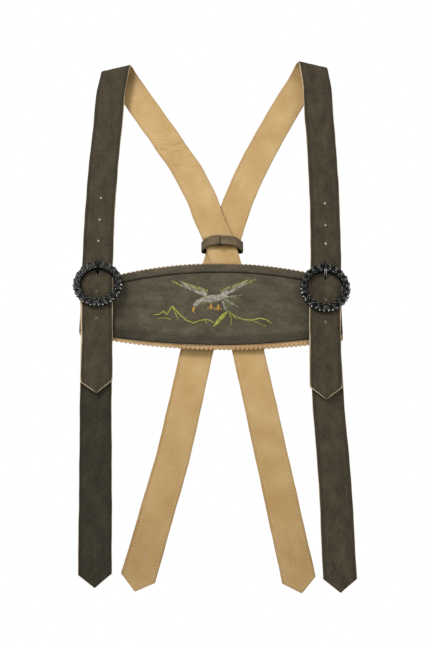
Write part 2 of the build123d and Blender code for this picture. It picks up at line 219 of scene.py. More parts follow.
class Batch:
    """Collects rings of points into one mesh."""

    def __init__(self):
        self.points, self.faces, self.uv, self.looks = [], [], [], []
        self.count = 0

    def add_points(self, points, uv):
        first = self.count
        self.points.append(np.asarray(points, float).reshape(-1, 3))
        uv = np.asarray(uv, float)
        uv = uv.reshape(-1, uv.shape[-1])
        self.uv.append(np.pad(uv, ((0, 0), (0, 4 - uv.shape[1]))))
        self.count += len(self.points[-1])
        return first

    def tube(self, rings, uv=None, looks=0, looped=False):
        """Closed rings, rows by columns. The ends are capped, or looped, where the last ring joins the first."""
        rows, columns = rings.shape[:2]
        first = self.add_points(rings, np.zeros((rows, columns, 2)) if uv is None else uv)
        looks = [looks] * columns if isinstance(looks, int) else looks
        for row in range(rows if looped else rows - 1):
            low, high = first + row * columns, first + (row + 1) % rows * columns
            for column in range(columns):
                after = (column + 1) % columns
                self.faces.append((low + column, low + after, high + after, high + column))
                self.looks.append(looks[column])
        for start in () if looped else (first, first + (rows - 1) * columns):
            for column in range(columns // 2 - 1):
                mirror = columns - 1 - column
                self.faces.append((start + column, start + column + 1, start + mirror - 1, start + mirror))
                self.looks.append(looks[-1])

    def prism(self, outline, depth=40.0):
        """A prism along Y with an outline of (x, z) points."""
        outline, count = np.array(outline), len(outline)
        rings = [np.stack([outline[:, 0], np.full(count, y), outline[:, 1]], axis=1) for y in (-depth, depth)]
        first = self.add_points(rings, np.zeros((2, count, 2)))
        for k in range(count):
            after = (k + 1) % count
            self.faces.append((first + k, first + after, first + count + after, first + count + k))
        self.faces.append(tuple(range(first, first + count)))
        self.faces.append(tuple(range(first + count, first + 2 * count)))
        self.looks += [0] * (count + 2)

    def build(self, name, looks, sharp_angle=50):
        uv = np.concatenate(self.uv)
        mesh = bpy.data.meshes.new(name)
        mesh.from_pydata((np.concatenate(self.points) * MM).tolist(), [], self.faces)
        mesh.polygons.foreach_set("material_index", self.looks)
        corners = np.zeros(len(mesh.loops), int)
        mesh.loops.foreach_get("vertex_index", corners)
        for layer_name, first in ((UV, 0), (SHADE, 2)):
            mesh.uv_layers.new(name=layer_name).data.foreach_set("uv", uv[corners, first:first + 2].ravel())
        for look in looks:
            mesh.materials.append(look)
        piece = bpy.data.objects.new(name, mesh)
        bpy.context.scene.collection.objects.link(piece)
        tidy_mesh(piece, sharp_angle)
        return piece


def tidy_mesh(piece, sharp_angle=50):
    """Outward normals, smooth shading, and sharp edges where the surface turns."""
    work = bmesh.new()
    work.from_mesh(piece.data)
    bmesh.ops.remove_doubles(work, verts=work.verts, dist=1e-6)
    bmesh.ops.dissolve_degenerate(work, edges=work.edges, dist=1e-6)
    bmesh.ops.recalc_face_normals(work, faces=work.faces)
    for face in work.faces:
        face.smooth = True
    limit = math.radians(sharp_angle)
    for edge in work.edges:
        edge.smooth = not (edge.is_manifold and edge.calc_face_angle(0) > limit)
    work.to_mesh(piece.data)
    work.free()


def cut(piece, outlines, wall=None):
    """Takes prisms out of the piece. The wall is the look of the cut that they leave."""
    batch = Batch()
    for outline in outlines:
        batch.prism(outline)
    tool = batch.build("cutter", [wall or raw_edge])
    modifier = piece.modifiers.new("cut", "BOOLEAN")
    modifier.operation = "DIFFERENCE"
    modifier.solver = "EXACT"
    modifier.material_mode = "TRANSFER"
    modifier.object = tool
    bpy.context.view_layer.update()
    shape = piece.evaluated_get(bpy.context.evaluated_depsgraph_get())
    mesh = bpy.data.meshes.new_from_object(shape)
    piece.modifiers.clear()
    piece.data = mesh
    tidy_mesh(piece)
    bpy.data.objects.remove(tool)


def settle(piece, body, node):
    """A piece that rides on one body, in place of its plain node."""
    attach(piece, body)
    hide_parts(node)


# ---------------------------------------------------------------- materials

GAIN = 0.52                 # lights add to the white surroundings, so leather is held back by this


def colour(red, green, blue, gain=GAIN):
    """A screen colour, 0 to 255, as a linear one."""
    values = []
    for channel in (red, green, blue):
        c = channel / 255
        values.append(gain * (c / 12.92 if c <= 0.04045 else ((c + 0.055) / 1.055) ** 2.4))
    return (*values, 1.0)


def dimmed(shade, share):
    return tuple(channel * share for channel in shade[:3]) + (1.0,)


class Look:
    """A material, and short ways to add nodes to it."""

    def __init__(self, name, coordinates="UV", **sockets):
        self.material = bpy.data.materials.new(name)
        self.material.use_nodes = True
        self.tree = self.material.node_tree
        self.shader = self.tree.nodes["Principled BSDF"]
        for socket, value in sockets.items():
            self.shader.inputs[socket.replace("_", " ")].default_value = value
        if coordinates == "UV":
            self.place = self.node("ShaderNodeUVMap", uv_map=UV).outputs["UV"]
        else:
            self.place = self.node("ShaderNodeTexCoord").outputs["Object"]

    def node(self, kind, inputs=(), **settings):
        made = self.tree.nodes.new(kind)
        for key, value in settings.items():
            setattr(made, key, value)
        for key, value in dict(inputs).items():
            if isinstance(value, bpy.types.NodeSocket):
                self.tree.links.new(value, made.inputs[key])
            else:
                made.inputs[key].default_value = value
        return made

    def texture(self, kind, scale, inputs=(), turn=0, mapping="POINT", **settings):
        """A texture over the piece's own place, scaled and turned."""
        laid = self.node("ShaderNodeMapping", {
            "Vector": self.place, "Scale": scale, "Rotation": (0, 0, math.radians(turn))},
            vector_type=mapping)
        return self.node(kind, {"Vector": laid.outputs["Vector"], "Scale": 1.0, **dict(inputs)}, **settings)

    def noise(self, size, detail=4.0, roughness=0.6, stretch=(1, 1, 1)):
        """Noise whose features are about size millimetres across."""
        scale = tuple(s / (size * MM) for s in stretch)
        return self.texture(
            "ShaderNodeTexNoise", scale, {"Detail": detail, "Roughness": roughness}).outputs["Fac"]

    def pores(self, size):
        return self.texture("ShaderNodeTexVoronoi", (1 / (size * MM),) * 3, feature="F1").outputs["Distance"]

    def math(self, operation, first, second=0.0):
        return self.node("ShaderNodeMath", {0: first, 1: second}, operation=operation).outputs[0]

    def spread(self, value, low, high, to_low=0.0, to_high=1.0):
        return self.node("ShaderNodeMapRange", {
            "Value": value, "From Min": low, "From Max": high, "To Min": to_low,
            "To Max": to_high}).outputs["Result"]

    def ramp(self, value, *stops):
        made = self.node("ShaderNodeValToRGB", {"Fac": value})
        elements = made.color_ramp.elements
        while len(elements) < len(stops):
            elements.new(0.5)
        for element, (position, shade) in zip(elements, stops):
            element.position = position
            element.color = shade
        return made.outputs["Color"]

    def mix(self, share, first, second):
        made = self.node("ShaderNodeMix", {"Factor": share, 6: first, 7: second}, data_type="RGBA")
        return made.outputs[2]

    def part(self, vector, axis):
        return self.node("ShaderNodeSeparateXYZ", {"Vector": vector}).outputs[axis]

    def across(self):
        """Distance from the strap's centre line, in millimetres."""
        return self.math("MULTIPLY", self.math("ABSOLUTE", self.part(self.place, "Y")), 1 / MM)

    # The SHADE layer: painted shade in X, how creased in Y.
    def shade(self, axis="X"):
        return self.part(self.node("ShaderNodeUVMap", uv_map=SHADE).outputs["UV"], axis)

    def creases_and_shade(self):
        """Fine lines across the strap, a little slanted, where it is creased: raised as bumps and darkened with
        painted shade.
        """
        lines = self.texture("ShaderNodeTexNoise", (1.9 * MM, 20 * MM, 1), {
            "Detail": 2.0, "Roughness": 0.5}, turn=-26, mapping="TEXTURE").outputs["Fac"]
        return self.math("MULTIPLY", self.spread(lines, 0.52, 0.60), self.shade("Y"))

    def worn_rim(self, low, high, patches, gate):
        """How worn the margin between two distances from the centre line is, in patches."""
        return self.math("MULTIPLY", self.spread(self.across(), low, high),
            self.spread(self.noise(*patches), *gate))

    def wire(self, socket, value):
        self.tree.links.new(value, self.shader.inputs[socket])

    def finish(self, base, *heights, roughness=None):
        """Wires the colour and the bumps: each is (value, how far it stands out in millimetres)."""
        self.wire("Base Color", base)
        if roughness is not None:
            self.wire("Roughness", roughness)
        normal = None
        for value, distance in heights:
            inputs = {"Height": value, "Strength": 1.0, "Distance": distance * MM}
            if normal is not None:
                inputs["Normal"] = normal
            normal = self.node("ShaderNodeBump", inputs).outputs["Normal"]
        if normal is not None:
            self.wire("Normal", normal)
        return self.material


def suede_look(name, tone, spread=0.24, edge=True):
    """Napped leather: cloudy patches, a fine nap brushed along the strap, darker near stitched edges."""
    deep, middle, pale = (colour(*(channel * f for channel in tone)) for f in (1 - spread, 1.0, 1 + spread))
    look = Look(name, Roughness=0.93, Specular_IOR_Level=0.08, Sheen_Weight=0.05, Sheen_Roughness=0.5)
    look.shader.inputs["Sheen Tint"].default_value = colour(190, 180, 150, 1.0)
    clouds = look.noise(13, 5, 0.66, stretch=(0.55, 1, 1))
    nap = look.noise(1.7, 6, 0.75, stretch=(0.4, 1, 1))
    fibre = look.noise(0.42, 3, 0.7, stretch=(0.35, 1, 1))
    base = look.ramp(clouds, (0.30, deep), (0.50, middle), (0.74, pale))
    base = look.mix(look.spread(nap, 0.45, 0.72, 0.0, 0.6), base, pale)
    base = look.mix(look.spread(nap, 0.5, 0.28, 0.0, 0.7), base, deep)
    if edge:
        base = look.mix(look.worn_rim(12.8, 14.6, (7, 4, 0.6), (0.35, 0.65, 0.25, 0.6)), base, deep)
    # painted shade from the SHADE layer, towards a dimmed deep colour
    base = look.mix(look.shade(), base, dimmed(deep, 0.22))
    return look.finish(base, (clouds, 0.25), (nap, 0.22), (fibre, 0.08))


def tan_look(name, middle, pale, burnt, edge=True):
    """Smooth split leather: even tan with faint clouds, pores, fine creases with painted shade in them, darker
    edges, and the painted shade of the SHADE layer.
    """
    look = Look(name, Roughness=0.62, Specular_IOR_Level=0.22)
    clouds = look.noise(34, 4, 0.55)
    grain = look.noise(1.1, 5, 0.7)
    base = look.mix(look.spread(clouds, 0.36, 0.68), middle, pale)
    base = look.mix(look.spread(grain, 0.52, 0.3, 0.0, 0.32), base, burnt)
    scuffs = look.noise(6, 6, 0.75, stretch=(0.3, 1, 1))
    base = look.mix(look.spread(scuffs, 0.56, 0.74, 0.0, 0.3), base, burnt)
    creases_and_shade = look.creases_and_shade()
    # painted shade in the crease lines
    base = look.mix(look.math("MULTIPLY", creases_and_shade, 0.45), base, burnt)
    if edge:
        base = look.mix(look.worn_rim(15.3, 17.4, (6, 4, 0.6), (0.3, 0.65, 0.1, 0.6)), base, burnt)
    # painted shade, the rub mark and darker ends from the SHADE layer, towards a dimmed burnt colour
    base = look.mix(look.shade(), base, dimmed(burnt, 0.45))
    return look.finish(
        base, (clouds, 0.3), (grain, 0.10), (look.pores(1.3), 0.05), (creases_and_shade, -0.2),
        roughness=look.spread(grain, 0.3, 0.7, 0.52, 0.72))


def raw_edge_look():
    """Cut edge of the leather: pale, fibrous, with layers."""
    look = Look("raw_edge", "OBJECT", Roughness=0.9, Specular_IOR_Level=0.1)
    fibres = look.noise(0.8, 5, 0.7)
    clouds = look.spread(look.noise(9, 4, 0.6), 0.35, 0.7)
    base = look.mix(clouds, colour(186, 164, 130, 0.66), colour(218, 200, 170, 0.66))
    base = look.mix(look.spread(fibres, 0.5, 0.8, 0.0, 0.5), base, colour(140, 114, 82, 0.66))
    return look.finish(base, (fibres, 0.15))


def metal_look(name, dark, bright, shine, wear):
    """Cast metal, dark in its hollows and rubbed bright where it stands proud, which Y of its place says."""
    look = Look(name, Metallic=1.0, Roughness=shine)
    lumps = look.noise(3.0, 4, 0.6)
    scratches = look.noise(0.9, 5, 0.7)
    proud = look.spread(look.part(look.place, "Y"), wear, wear + 0.22)
    base = look.mix(look.math("MULTIPLY", proud, look.spread(lumps, 0.38, 0.54)), dark, bright)
    rough = look.spread(scratches, 0.3, 0.75, shine - 0.08, shine + 0.16)
    return look.finish(base, (scratches, 0.05), (lumps, 0.08), roughness=rough)


def steel_look(name, level):
    look = Look(name, "OBJECT", Metallic=1.0)
    brushed = look.noise(0.7, 4, 0.7, stretch=(0.15, 1, 1))
    base = look.ramp(brushed, (0.3, colour(level, level, level, 0.6)),
        (0.7, colour(level, level, level, 1.0)))
    return look.finish(base, (brushed, 0.03), roughness=look.spread(brushed, 0.3, 0.7, 0.22, 0.42))


def thread_look(name, dark, pale, shine=0.45, gloss=0.35):
    """Twisted thread: fine ply marks and a soft gloss."""
    dark, pale = colour(*dark), colour(*pale)
    look = Look(
        name, "OBJECT", Roughness=shine, Specular_IOR_Level=gloss, Sheen_Weight=0.5 * gloss,
            Sheen_Roughness=0.4)
    twist = look.noise(0.35, 3, 0.6, stretch=(1, 1, 0.5))
    base = look.mix(look.spread(look.noise(5, 3, 0.6), 0.35, 0.65), dark, pale)
    base = look.mix(look.spread(twist, 0.5, 0.3, 0.0, 0.5), base, dark)
    return look.finish(base, (twist, 0.08))


def floor_look():
    look = Look("pale_floor", "OBJECT", Roughness=0.8)
    return look.finish(look.mix(look.noise(400, 3, 0.5), (0.80, 0.80, 0.80, 1), (0.86, 0.86, 0.85, 1)))


suede = suede_look("dark_suede", (72, 65, 51))
tab_suedes = {
    "left": suede_look("left_tab_suede", (57, 54, 43)),
    "right": suede_look("right_tab_suede", (73, 66, 52)),
}
panel_suede = suede_look("panel_suede", (89, 82, 67), edge=False)
keeper_suede = suede_look("keeper_suede", (113, 99, 77), edge=False)
suede_edge = suede_look("suede_cut_edge", (64, 56, 42), 0.3, edge=False)
tan = tan_look("tan_lining", colour(198, 161, 103), colour(214, 181, 124), colour(160, 114, 60))
backing_tan = tan_look(
    "backing_tan", colour(182, 144, 96), colour(204, 168, 118), colour(128, 84, 42), edge=False)
raw_edge = raw_edge_look()
black_metal = metal_look("blackened_metal", colour(24, 24, 23, 1.0), colour(168, 168, 165, 1.0), 0.22, 0.70)
dark_prong = metal_look("dark_prong", colour(30, 30, 31, 1.0), colour(90, 90, 92, 1.0), 0.32, 0.95)
steel = steel_look("bar_steel", 120)
bright_steel = steel_look("prong_steel", 215)
dark_thread = thread_look("olive_thread", (62, 58, 45), (86, 81, 64), 0.8, 0.1)
cream_thread = thread_look("cream_thread", (204, 178, 130), (232, 212, 168), 0.7)
black_thread = thread_look("black_thread", (11, 10, 8, 1.0), (24, 21, 17, 1.0), 0.85, 0.1)
white_thread = thread_look("bird_thread", (142, 137, 122), (206, 199, 182))
lime_thread = thread_look("lime_thread", (140, 150, 46), (192, 200, 86))
moss_thread = thread_look("moss_thread", (92, 96, 58), (136, 140, 92))
orange_thread = thread_look("orange_thread", (200, 140, 40), (238, 190, 78))

# name of the layer, look of its face and of its walls, its slot, and which way it faces
leathers = {
    "suede": (suede, suede_edge, "dark_suede", 1),
    "lining": (tan, raw_edge, "tan_lining", -1),
}

# ---------------------------------------------------------------- straps

keeper_box = box("keeper_loop")
# Middle of the painted shadow under the keeper, which also stands as its rub mark; set low so that it shows in the
# gap under the keeper.
keeper_rub_and_shadow = (keeper_box[0][2] + keeper_box[1][2]) / 2 + 2.4


def wave(x, z):
    """The slow unevenness of hanging leather, shared by all that lies together, in millimetres."""
    slow = np.sin(z / 41 + x / 75 + 0.7) + 0.6 * np.sin(z / 23 - x / 31 + 2.1)
    return 0.16 * slow + 0.05 * np.sin(z / 9.5 + x / 12)


class Strap:
    """One shoulder strap: a centre line in the cut plane, rolled back over the shoulder.

    Places on it are given by the way along from the tail's tip, the way across, and the depth from
    the middle of the ply, which is positive on the suede side.
    """

    half = 17.5
    tail_lift = 3.4         # how far the tail's tip stands off the tab
    low_tip = True

    def __init__(self, side):
        self.side = side
        self.hand = -1 if side == "left" else 1
        tail_front = box(side + "_tail_suede")[0][1]
        tail_rear = box(side + "_tail_lining")[1][1]
        self.front_y = (tail_front + tail_rear) / 2
        self.half_ply = (tail_rear - tail_front) / 2
        self.back_y = box(side + "_shoulder_suede")[1][1] - self.half_ply
        self.radius = (self.back_y - self.front_y) / 2
        self.bar = joint_point(side + "_buckle_rock")
        self.crest_slope = 0.075 if side == "left" else 0.10
        self.find_fold()
        self.find_line()
        self.bar_s = self.front_way(self.bar[2])
        crest = np.searchsorted(self.s, self.fold_s)
        ahead = self.line[crest + 20] - self.line[crest - 20]
        self.skew = (ahead @ self.along_fold) / (ahead @ self.up_fold)

    def find_fold(self):
        """The fold's axis: a point on it, its direction towards +X, and the square to it, upwards."""
        crest = section(self.side + "_shoulder_suede", 1, self.front_y + self.radius)
        order = crest[crest[:, 0].argsort()]
        low_end, high_end = flat(order[:2].mean(0)), flat(order[-2:].mean(0))
        self.along_fold = unit(high_end - low_end)
        self.up_fold = -right_of(self.along_fold)
        heights = crest[:, [0, 2]] @ self.up_fold
        drop = heights.max() - self.radius - self.half_ply
        middle = (low_end + high_end) / 2
        self.fold = middle + self.up_fold * (drop - middle @ self.up_fold)

    def meet_fold(self, first, second):
        """Where the line through two points of the strap meets the fold's axis."""
        way = second - first
        return first + way * (((self.fold - first) @ self.up_fold) / (way @ self.up_fold))

    def unroll(self, point):
        """A point on the back strap, moved to the cut plane."""
        offset = point - self.fold
        height = math.pi * self.radius - offset @ self.up_fold
        return self.fold + self.along_fold * (offset @ self.along_fold) + self.up_fold * height

    def find_line(self):
        side = self.side
        front = middle_points(side + "_front_suede", np.arange(-320.0, -22.0, 8.0))
        back = middle_points(side + "_shoulder_suede", np.arange(-48.0, -460.0, -8.0))
        back_hinge, back_tip = flat(joint_point(side + "_back_tab_flex")), lowest(side + "_back_tab_suede")
        over = self.meet_fold(front[-3], front[-1])
        down = self.meet_fold(back[2], back[0])
        behind = [self.unroll(p) for p in [down, *back, back_hinge, back_tip]]
        tail = [lowest(side + "_tail_suede"), flat(joint_point(side + "_tail_flex"))]
        rough = np.array([*tail, *front, over, *behind])
        way = travel(rough)
        self.length = way[-1]
        self.s = np.linspace(0, self.length, int(self.length))
        self.line = self.smoothed(along(rough, way, self.s), 9)
        self.square = right_of(unit(np.gradient(self.line, self.s, axis=0)))
        self.fold_s = self.way_to(over)

    def smoothed(self, line, reach):
        """A running mean that keeps the ends straight."""
        weights = np.hanning(2 * reach + 3)[1:-1]
        weights /= weights.sum()
        before = line[0] + (line[0] - line[1:reach + 1])[::-1]
        after = line[-1] + (line[-1] - line[-reach - 1:-1])[::-1]
        padded = np.concatenate([before, line, after])
        return np.stack([np.convolve(padded[:, k], weights, "valid") for k in (0, 1)], axis=1)

    def way_to(self, point):
        """How far along the strap a point of the cut plane is."""
        return self.s[np.linalg.norm(self.line - point, axis=1).argmin()]

    def front_way(self, z):
        return self.way_to(np.array([np.interp(z, self.line[:430, 1], self.line[:430, 0]), z]))

    def sway(self, height):
        """Sideways drift of the hanging strap: near the fold in front, and down the back."""
        behind = height - math.pi * self.radius
        if self.side == "left":
            back = 0.9 * hump(behind, 95, 14) + 1.7 * hump(behind, 141, 20) - 2.9 * hump(behind, 215, 24)
        else:
            back = -1.5 * plateau(behind, 5, 40, 190, 240) - 0.9 * plateau(behind, 300, 360, 450, 520)
        return 1.6 * self.hand * hump(height, -30, 24) + back

    def place(self, s, a, depth):
        s, a, depth = np.broadcast_arrays(np.asarray(s, float), a, depth)
        flat_place = along(self.line, self.s, s) + a[..., None] * along(self.square, self.s, s)
        sideways, height = ((flat_place - self.fold) @ axis for axis in (self.along_fold, self.up_fold))
        from_crest = height - math.pi / 2 * self.radius
        across_fold = sideways - from_crest * self.skew
        sideways = sideways + self.sway(height)
        turn = np.clip(height / self.radius, 0, math.pi)
        beyond = np.maximum(height - math.pi * self.radius, 0)
        out = self.radius + depth + self.relief(s, flat_place[..., 0], flat_place[..., 1], height)
        rise = np.minimum(height, 0) + out * np.sin(turn) - beyond
        rise = rise - self.hand * self.crest_slope * across_fold * hump(from_crest, 0, 20)
        x, z = (self.fold[k] + sideways * self.along_fold[k] + rise * self.up_fold[k] for k in (0, 1))
        return np.stack([x, self.front_y + self.radius - out * np.cos(turn), z], axis=-1)

    def relief(self, s, x, z, height):
        """Unevenness: the bow over the bar, the lifted tip and slow waves."""
        behind = height - math.pi * self.radius
        from_bar = np.abs(z - self.bar[2])
        bow = 1.4 * (1 - smooth_step(from_bar, 3, 16)) * (height < 0)
        bow = bow + self.tail_lift * (1 - smooth_step(s, 2, 62))
        front = smooth_step(-height, 8, 45) * smooth_step(from_bar, 14, 45)
        rear = smooth_step(behind, 25, 70)
        return bow + front * wave(x, z) - rear * wave(x, self.fold[1] - behind)

    def shade(self, s, a, layer_name, places):
        """Painted shade: a dark line along the stitch groove, shade on the crest past the fold, painted shadow
        inside the fold, and a painted shadow under the keeper that also stands as a rub mark; darker towards the
        ends.
        """
        if layer_name == "suede":
            # suede: painted shade along the stitch groove and on the crest just past the fold
            return np.clip(0.22 * hump(np.abs(a), 14.1, 0.7) + 0.25 * hump(s, self.fold_s + 9, 4), 0, 1)
        # darker towards the ends of the back straps
        ends = 0.13 * smooth_step(s, 820, 980) + 0.17 * smooth_step(s, 960, self.length)
        # painted shadow inside the fold, cast by the front strap; stronger on the left, where the key light comes
        # from
        fold = hump(s, self.fold_s + 22, 24) * smooth_step(s, self.fold_s - 10, self.fold_s + 10)
        # painted shade along the stitch groove
        line = 0.10 * hump(np.abs(a), 14.9, 0.5)
        # painted shadow in the gap under the keeper, which also stands as a rub mark where the keeper rests
        rubbed = 0.75 * np.exp(-((places[..., 2] - keeper_rub_and_shadow) / 5.8) ** 8) * (s > self.fold_s)
        return np.clip(ends + fold * (0.52 if self.side == "left" else 0.24) + line + rubbed, 0, 1)

    def creased(self, places):
        """How creased the back strap is: most below the fold."""
        behind = (self.fold[1] - places[..., 2]) * (places[..., 1] > self.front_y + self.radius)
        middle, amount = (99, 1.0) if self.side == "left" else (90, 0.4)
        return amount * (hump(behind, middle, 9) + 0.5 * hump(behind, middle + 26, 6))

    def reach(self, s, hand, layer_name):
        """Half width of one layer, at one edge. The lining's raw margin shows past the suede."""
        tip_room = np.minimum(s, self.length - s)
        half = self.half + 0.12 * np.sin(s / 13 + hand) + 0.10 * np.sin(s / 5.3 + 2 * hand)
        half = half + bar_flare[self.side] * hump(s, self.bar_s, 13)
        spare = 0
        if self.side == "right" and hand == -1:
            half = half + 1.2 * smooth_step(s, 720, 780)
        if self.side == "left" and hand == -1:
            spare = 0.9 * hump(s, self.bar_s - 15, 32)
        full = (half + spare) * np.clip(tip_room / end_point, 0.02, 1)
        if layer_name == "lining":
            return full
        ways, inner, outer = self.margins
        margin = np.interp(s, ways, inner if hand == -self.hand else outer)
        margin = margin * (1 + 0.25 * np.sin(s / 19 + 2 * hand) + 0.15 * np.sin(s / 7.1)) + spare
        ends = 1 - smooth_step(tip_room, end_point, end_point + 4)
        return full - (margin * (1 - ends) + 1.5 * ends) * np.clip(full / 6, 0, 1)

    @property
    def margins(self):
        """Ways along the strap, and how much of the raw margin shows at the inner and the outer edge."""
        if self.side == "left":
            return (0, 122, 134, 400, 470, 520), (0.6, 0.6, 0.7, 0.7, 1.2, 0.7), (1.2, 1.2, 0.35, 0.3,
                0.3, 0.5)
        return (0, 122, 134, 300, 440, 520), (0.9, 0.9, 0.6, 0.5, 1.0, 0.6), (0.35, 1.1, 0.7, 0.7, 0.35, 0.5)


class Tab:
    """A front tab: its suede runs up behind the bar, over it and down the front."""

    half = 17.2
    turn_radius = 1.65      # of the middle of the suede, round the bar
    low_tip = False

    def __init__(self, strap):
        self.side, self.hand, self.bar, self.half_ply = strap.side, strap.hand, strap.bar, strap.half_ply
        tip = lowest(self.side + "_tab_end_suede")
        self.top = flat(self.bar)
        self.down = unit(tip - self.top)
        self.square = -right_of(self.down)
        reach_down = np.linalg.norm(tip - self.top)
        front_y = box(self.side + "_tab_end_suede")[0][1] + self.half_ply
        bar_y, radius = self.bar[1], self.turn_radius
        leg = [(bar_y + radius, drop) for drop in (25.0, 18.0, 10.0, 4.0)]
        over = [(bar_y + radius * math.cos(t), -radius * math.sin(t)) for t in np.linspace(0, math.pi, 17)]
        forward = bar_y - radius
        slope = [
            (forward + (front_y - forward) * smooth_step(t, 0, 1), 3 + 10 * t) for t in np.linspace(0, 1, 9)]
        route = np.array([*leg, *over, *slope, (front_y, 60.0), (front_y, reach_down)])
        way = travel(route)
        self.length = way[-1]
        self.s = np.linspace(0, self.length, int(self.length * 4))
        self.route = along(route, way, self.s)
        self.slope = unit(np.gradient(self.route, self.s, axis=0))
        self.extra = self.length - reach_down      # spent on the return leg and the turn

    def place(self, s, a, depth):
        s, a, depth = np.broadcast_arrays(np.asarray(s, float), a, depth)
        y, drop = (np.interp(s, self.s, self.route[:, k]) for k in (0, 1))
        slope_y, slope_drop = (np.interp(s, self.s, self.slope[:, k]) for k in (0, 1))
        a = a + self.sway(drop)
        x, z = (self.top[k] + self.down[k] * drop + self.square[k] * a for k in (0, 1))
        swell = smooth_step(drop, 45, 90) * wave(x, z) * (s > self.extra)
        drop_out = depth * slope_y
        return np.stack([
            x + self.down[0] * drop_out, y - depth * slope_drop - swell, z + self.down[1] * drop_out],
                axis=-1)

    def shade(self, s, a, layer_name, places):
        # painted shade along the stitch groove
        return 0.20 * hump(np.abs(a), 13.8, 0.7)

    def creased(self, places):
        return np.zeros(places.shape[:-1])

    def sway(self, drop):
        """The right tab swings in behind the tail and out again below it."""
        return -0.6 * hump(drop, 130, 60) if self.side == "left" else -3.0 * plateau(drop, 8, 60, 115, 235)

    def reach(self, s, hand, layer_name):
        half = self.half + 0.12 * np.sin(s / 11 + hand) + 0.08 * np.sin(s / 4.9 + 2 * hand)
        full = half * np.clip((self.length - s) / end_point, 0.02, 1)
        if layer_name == "lining":
            return full
        uneven = 0.4 * np.sin(s / 31 + 2 * hand + self.hand)
        return full - (0.45 + 0.3 * uneven) * np.clip(full / 6, 0, 1)


edge_steps = np.array([0, 0.22, 0.7, 1.6, 2.6, 3.0, 3.4, 3.8, 4.6, 7.0, 10.0, 13.5])
edge_rounding = np.array([0.50, 0.17, 0.03, 0, 0, 0.10, 0.17, 0.10, 0, 0, 0, 0])
tip_rows = np.array([0.3, 1.0, 2.5, 4.5, 7.0, 9.5, 12.0, 13.0, 13.5, 14.0, 15.0])


def rows_between(sheet, start, end):
    """Ways along the sheet, a row step apart and closer where a pointed end begins."""
    rows = list(np.linspace(start, end, max(2, int(abs(end - start) / row_step))))
    for tip in [sheet.length - tip_rows] + [tip_rows] * sheet.low_tip:
        inside = (tip > start) & (tip < end)
        if inside.any():
            low, high = tip[inside].min(), tip[inside].max()
            rows = [r for r in rows if not low - 1 < r < high + 1 or r in (start, end)]
            rows += list(tip[inside])
    rows = sorted(rows)
    if sheet.low_tip and rows[0] < tip_rows[0]:
        rows = rows[1:]
    if rows[-1] > sheet.length - tip_rows[0]:
        rows = rows[:-1]
    return np.array(rows)


def layer(name, sheet, start, end, layer_name, face_look):
    """One layer of leather as a closed mesh: the face with rounded edges, the walls and the glued side."""
    _, wall_look, _, sign = leathers[layer_name]
    rows = rows_between(sheet, start, end)[:, None]
    reaches = [sheet.reach(rows, hand, layer_name) for hand in (-1, 1)]
    low, high = (reach - edge_steps[None] * np.minimum(1, reach / sheet.half) for reach in reaches)
    low, high = -low, high[:, ::-1]
    across = np.concatenate([low, (low[:, -1:] + high[:, :1]) / 2, high], axis=1)
    rounding = np.concatenate([edge_rounding, [0], edge_rounding[::-1]])
    face_depth = sign * (sheet.half_ply - rounding)[None] + 0 * across
    ring_across = loop_of(across)
    ring_depth = loop_of(face_depth, np.full_like(across, glued_side[layer_name]))
    ring_way = np.broadcast_to(rows, ring_across.shape)
    rings = sheet.place(ring_way, ring_across, ring_depth)
    shift = 3.0 if sheet.hand > 0 else 0.0
    shade = sheet.shade(ring_way, ring_across, layer_name, rings)
    uv = np.stack([ring_way * MM + shift, ring_across * MM, shade, sheet.creased(rings)], axis=-1)
    columns = across.shape[1]
    batch = Batch()
    batch.tube(rings, uv, [0] * (columns - 1) + [1] * (columns + 1))
    piece = batch.build(name, [face_look, wall_look])
    spans = (reaches[0] + reaches[1])[:, 0]
    piece["flat_length"] = float(end - start) * MM
    piece["flat_width"] = float(spans.max()) * MM
    piece["flat_area"] = float(((spans[1:] + spans[:-1]) / 2 * np.diff(rows[:, 0])).sum()) * MM * MM
    return piece


def stitches(batch, sheet, route, depth, look, radius=0.32):
    """Thread that follows a route of (along, across) points, one raised stitch at a time."""
    route = np.array(route, float)
    way = travel(route)
    sign = 1 if depth > 0 else -1
    shares = np.array([0, 0.14, 0.5, 0.86, 1])
    sinks = np.array([-0.55, -0.05, 0.06, -0.05, -0.55]) * radius * 2
    thin = np.array([0.55, 0.95, 1, 0.95, 0.55])[:, None, None]
    for step in range(int((way[-1] - stitch_length) / stitch_pitch) + 1):
        s, a = along(route, way, step * stitch_pitch + shares * stitch_length).T
        middle = sheet.place(s, a, depth + sign * sinks)
        outward = unit(sheet.place(s, a, depth + sign * (sinks + 1)) - middle)
        sideways = np.cross(unit(np.gradient(middle, axis=0)), outward)
        batch.tube(cord_rings(middle, sideways, outward, thin * radius), looks=look)


def edge_stitches(name, sheet, start, end):
    """Rows of stitches inside both edges, turned along the sides of a pointed end."""
    batch = Batch()
    inset_half = sheet.half - stitch_inset
    tangent = sheet.half / end_point
    apex_room = stitch_inset * math.hypot(1, 1 / tangent)
    corner_room = apex_room + inset_half / tangent
    for hand in (-1, 1):
        edge = hand * inset_half
        route = [(start, edge), (end, edge)]
        if sheet.low_tip and start < end_point:
            route = [(apex_room, 0), (corner_room, edge), (end, edge)]
        if end > sheet.length - end_point:
            route = [(start, edge), (sheet.length - corner_room, edge), (sheet.length - apex_room, 0)]
        for look, sign in ((0, 1), (1, -1)):
            stitches(batch, sheet, route, sign * (sheet.half_ply - 0.12), look)
    return batch.build(name, [dark_thread, cream_thread])


def round_outline(x, z, radius, count=20):
    turns = np.arange(count) * 2 * math.pi / count
    return [(x + radius * math.cos(t), z + radius * math.sin(t)) for t in turns]


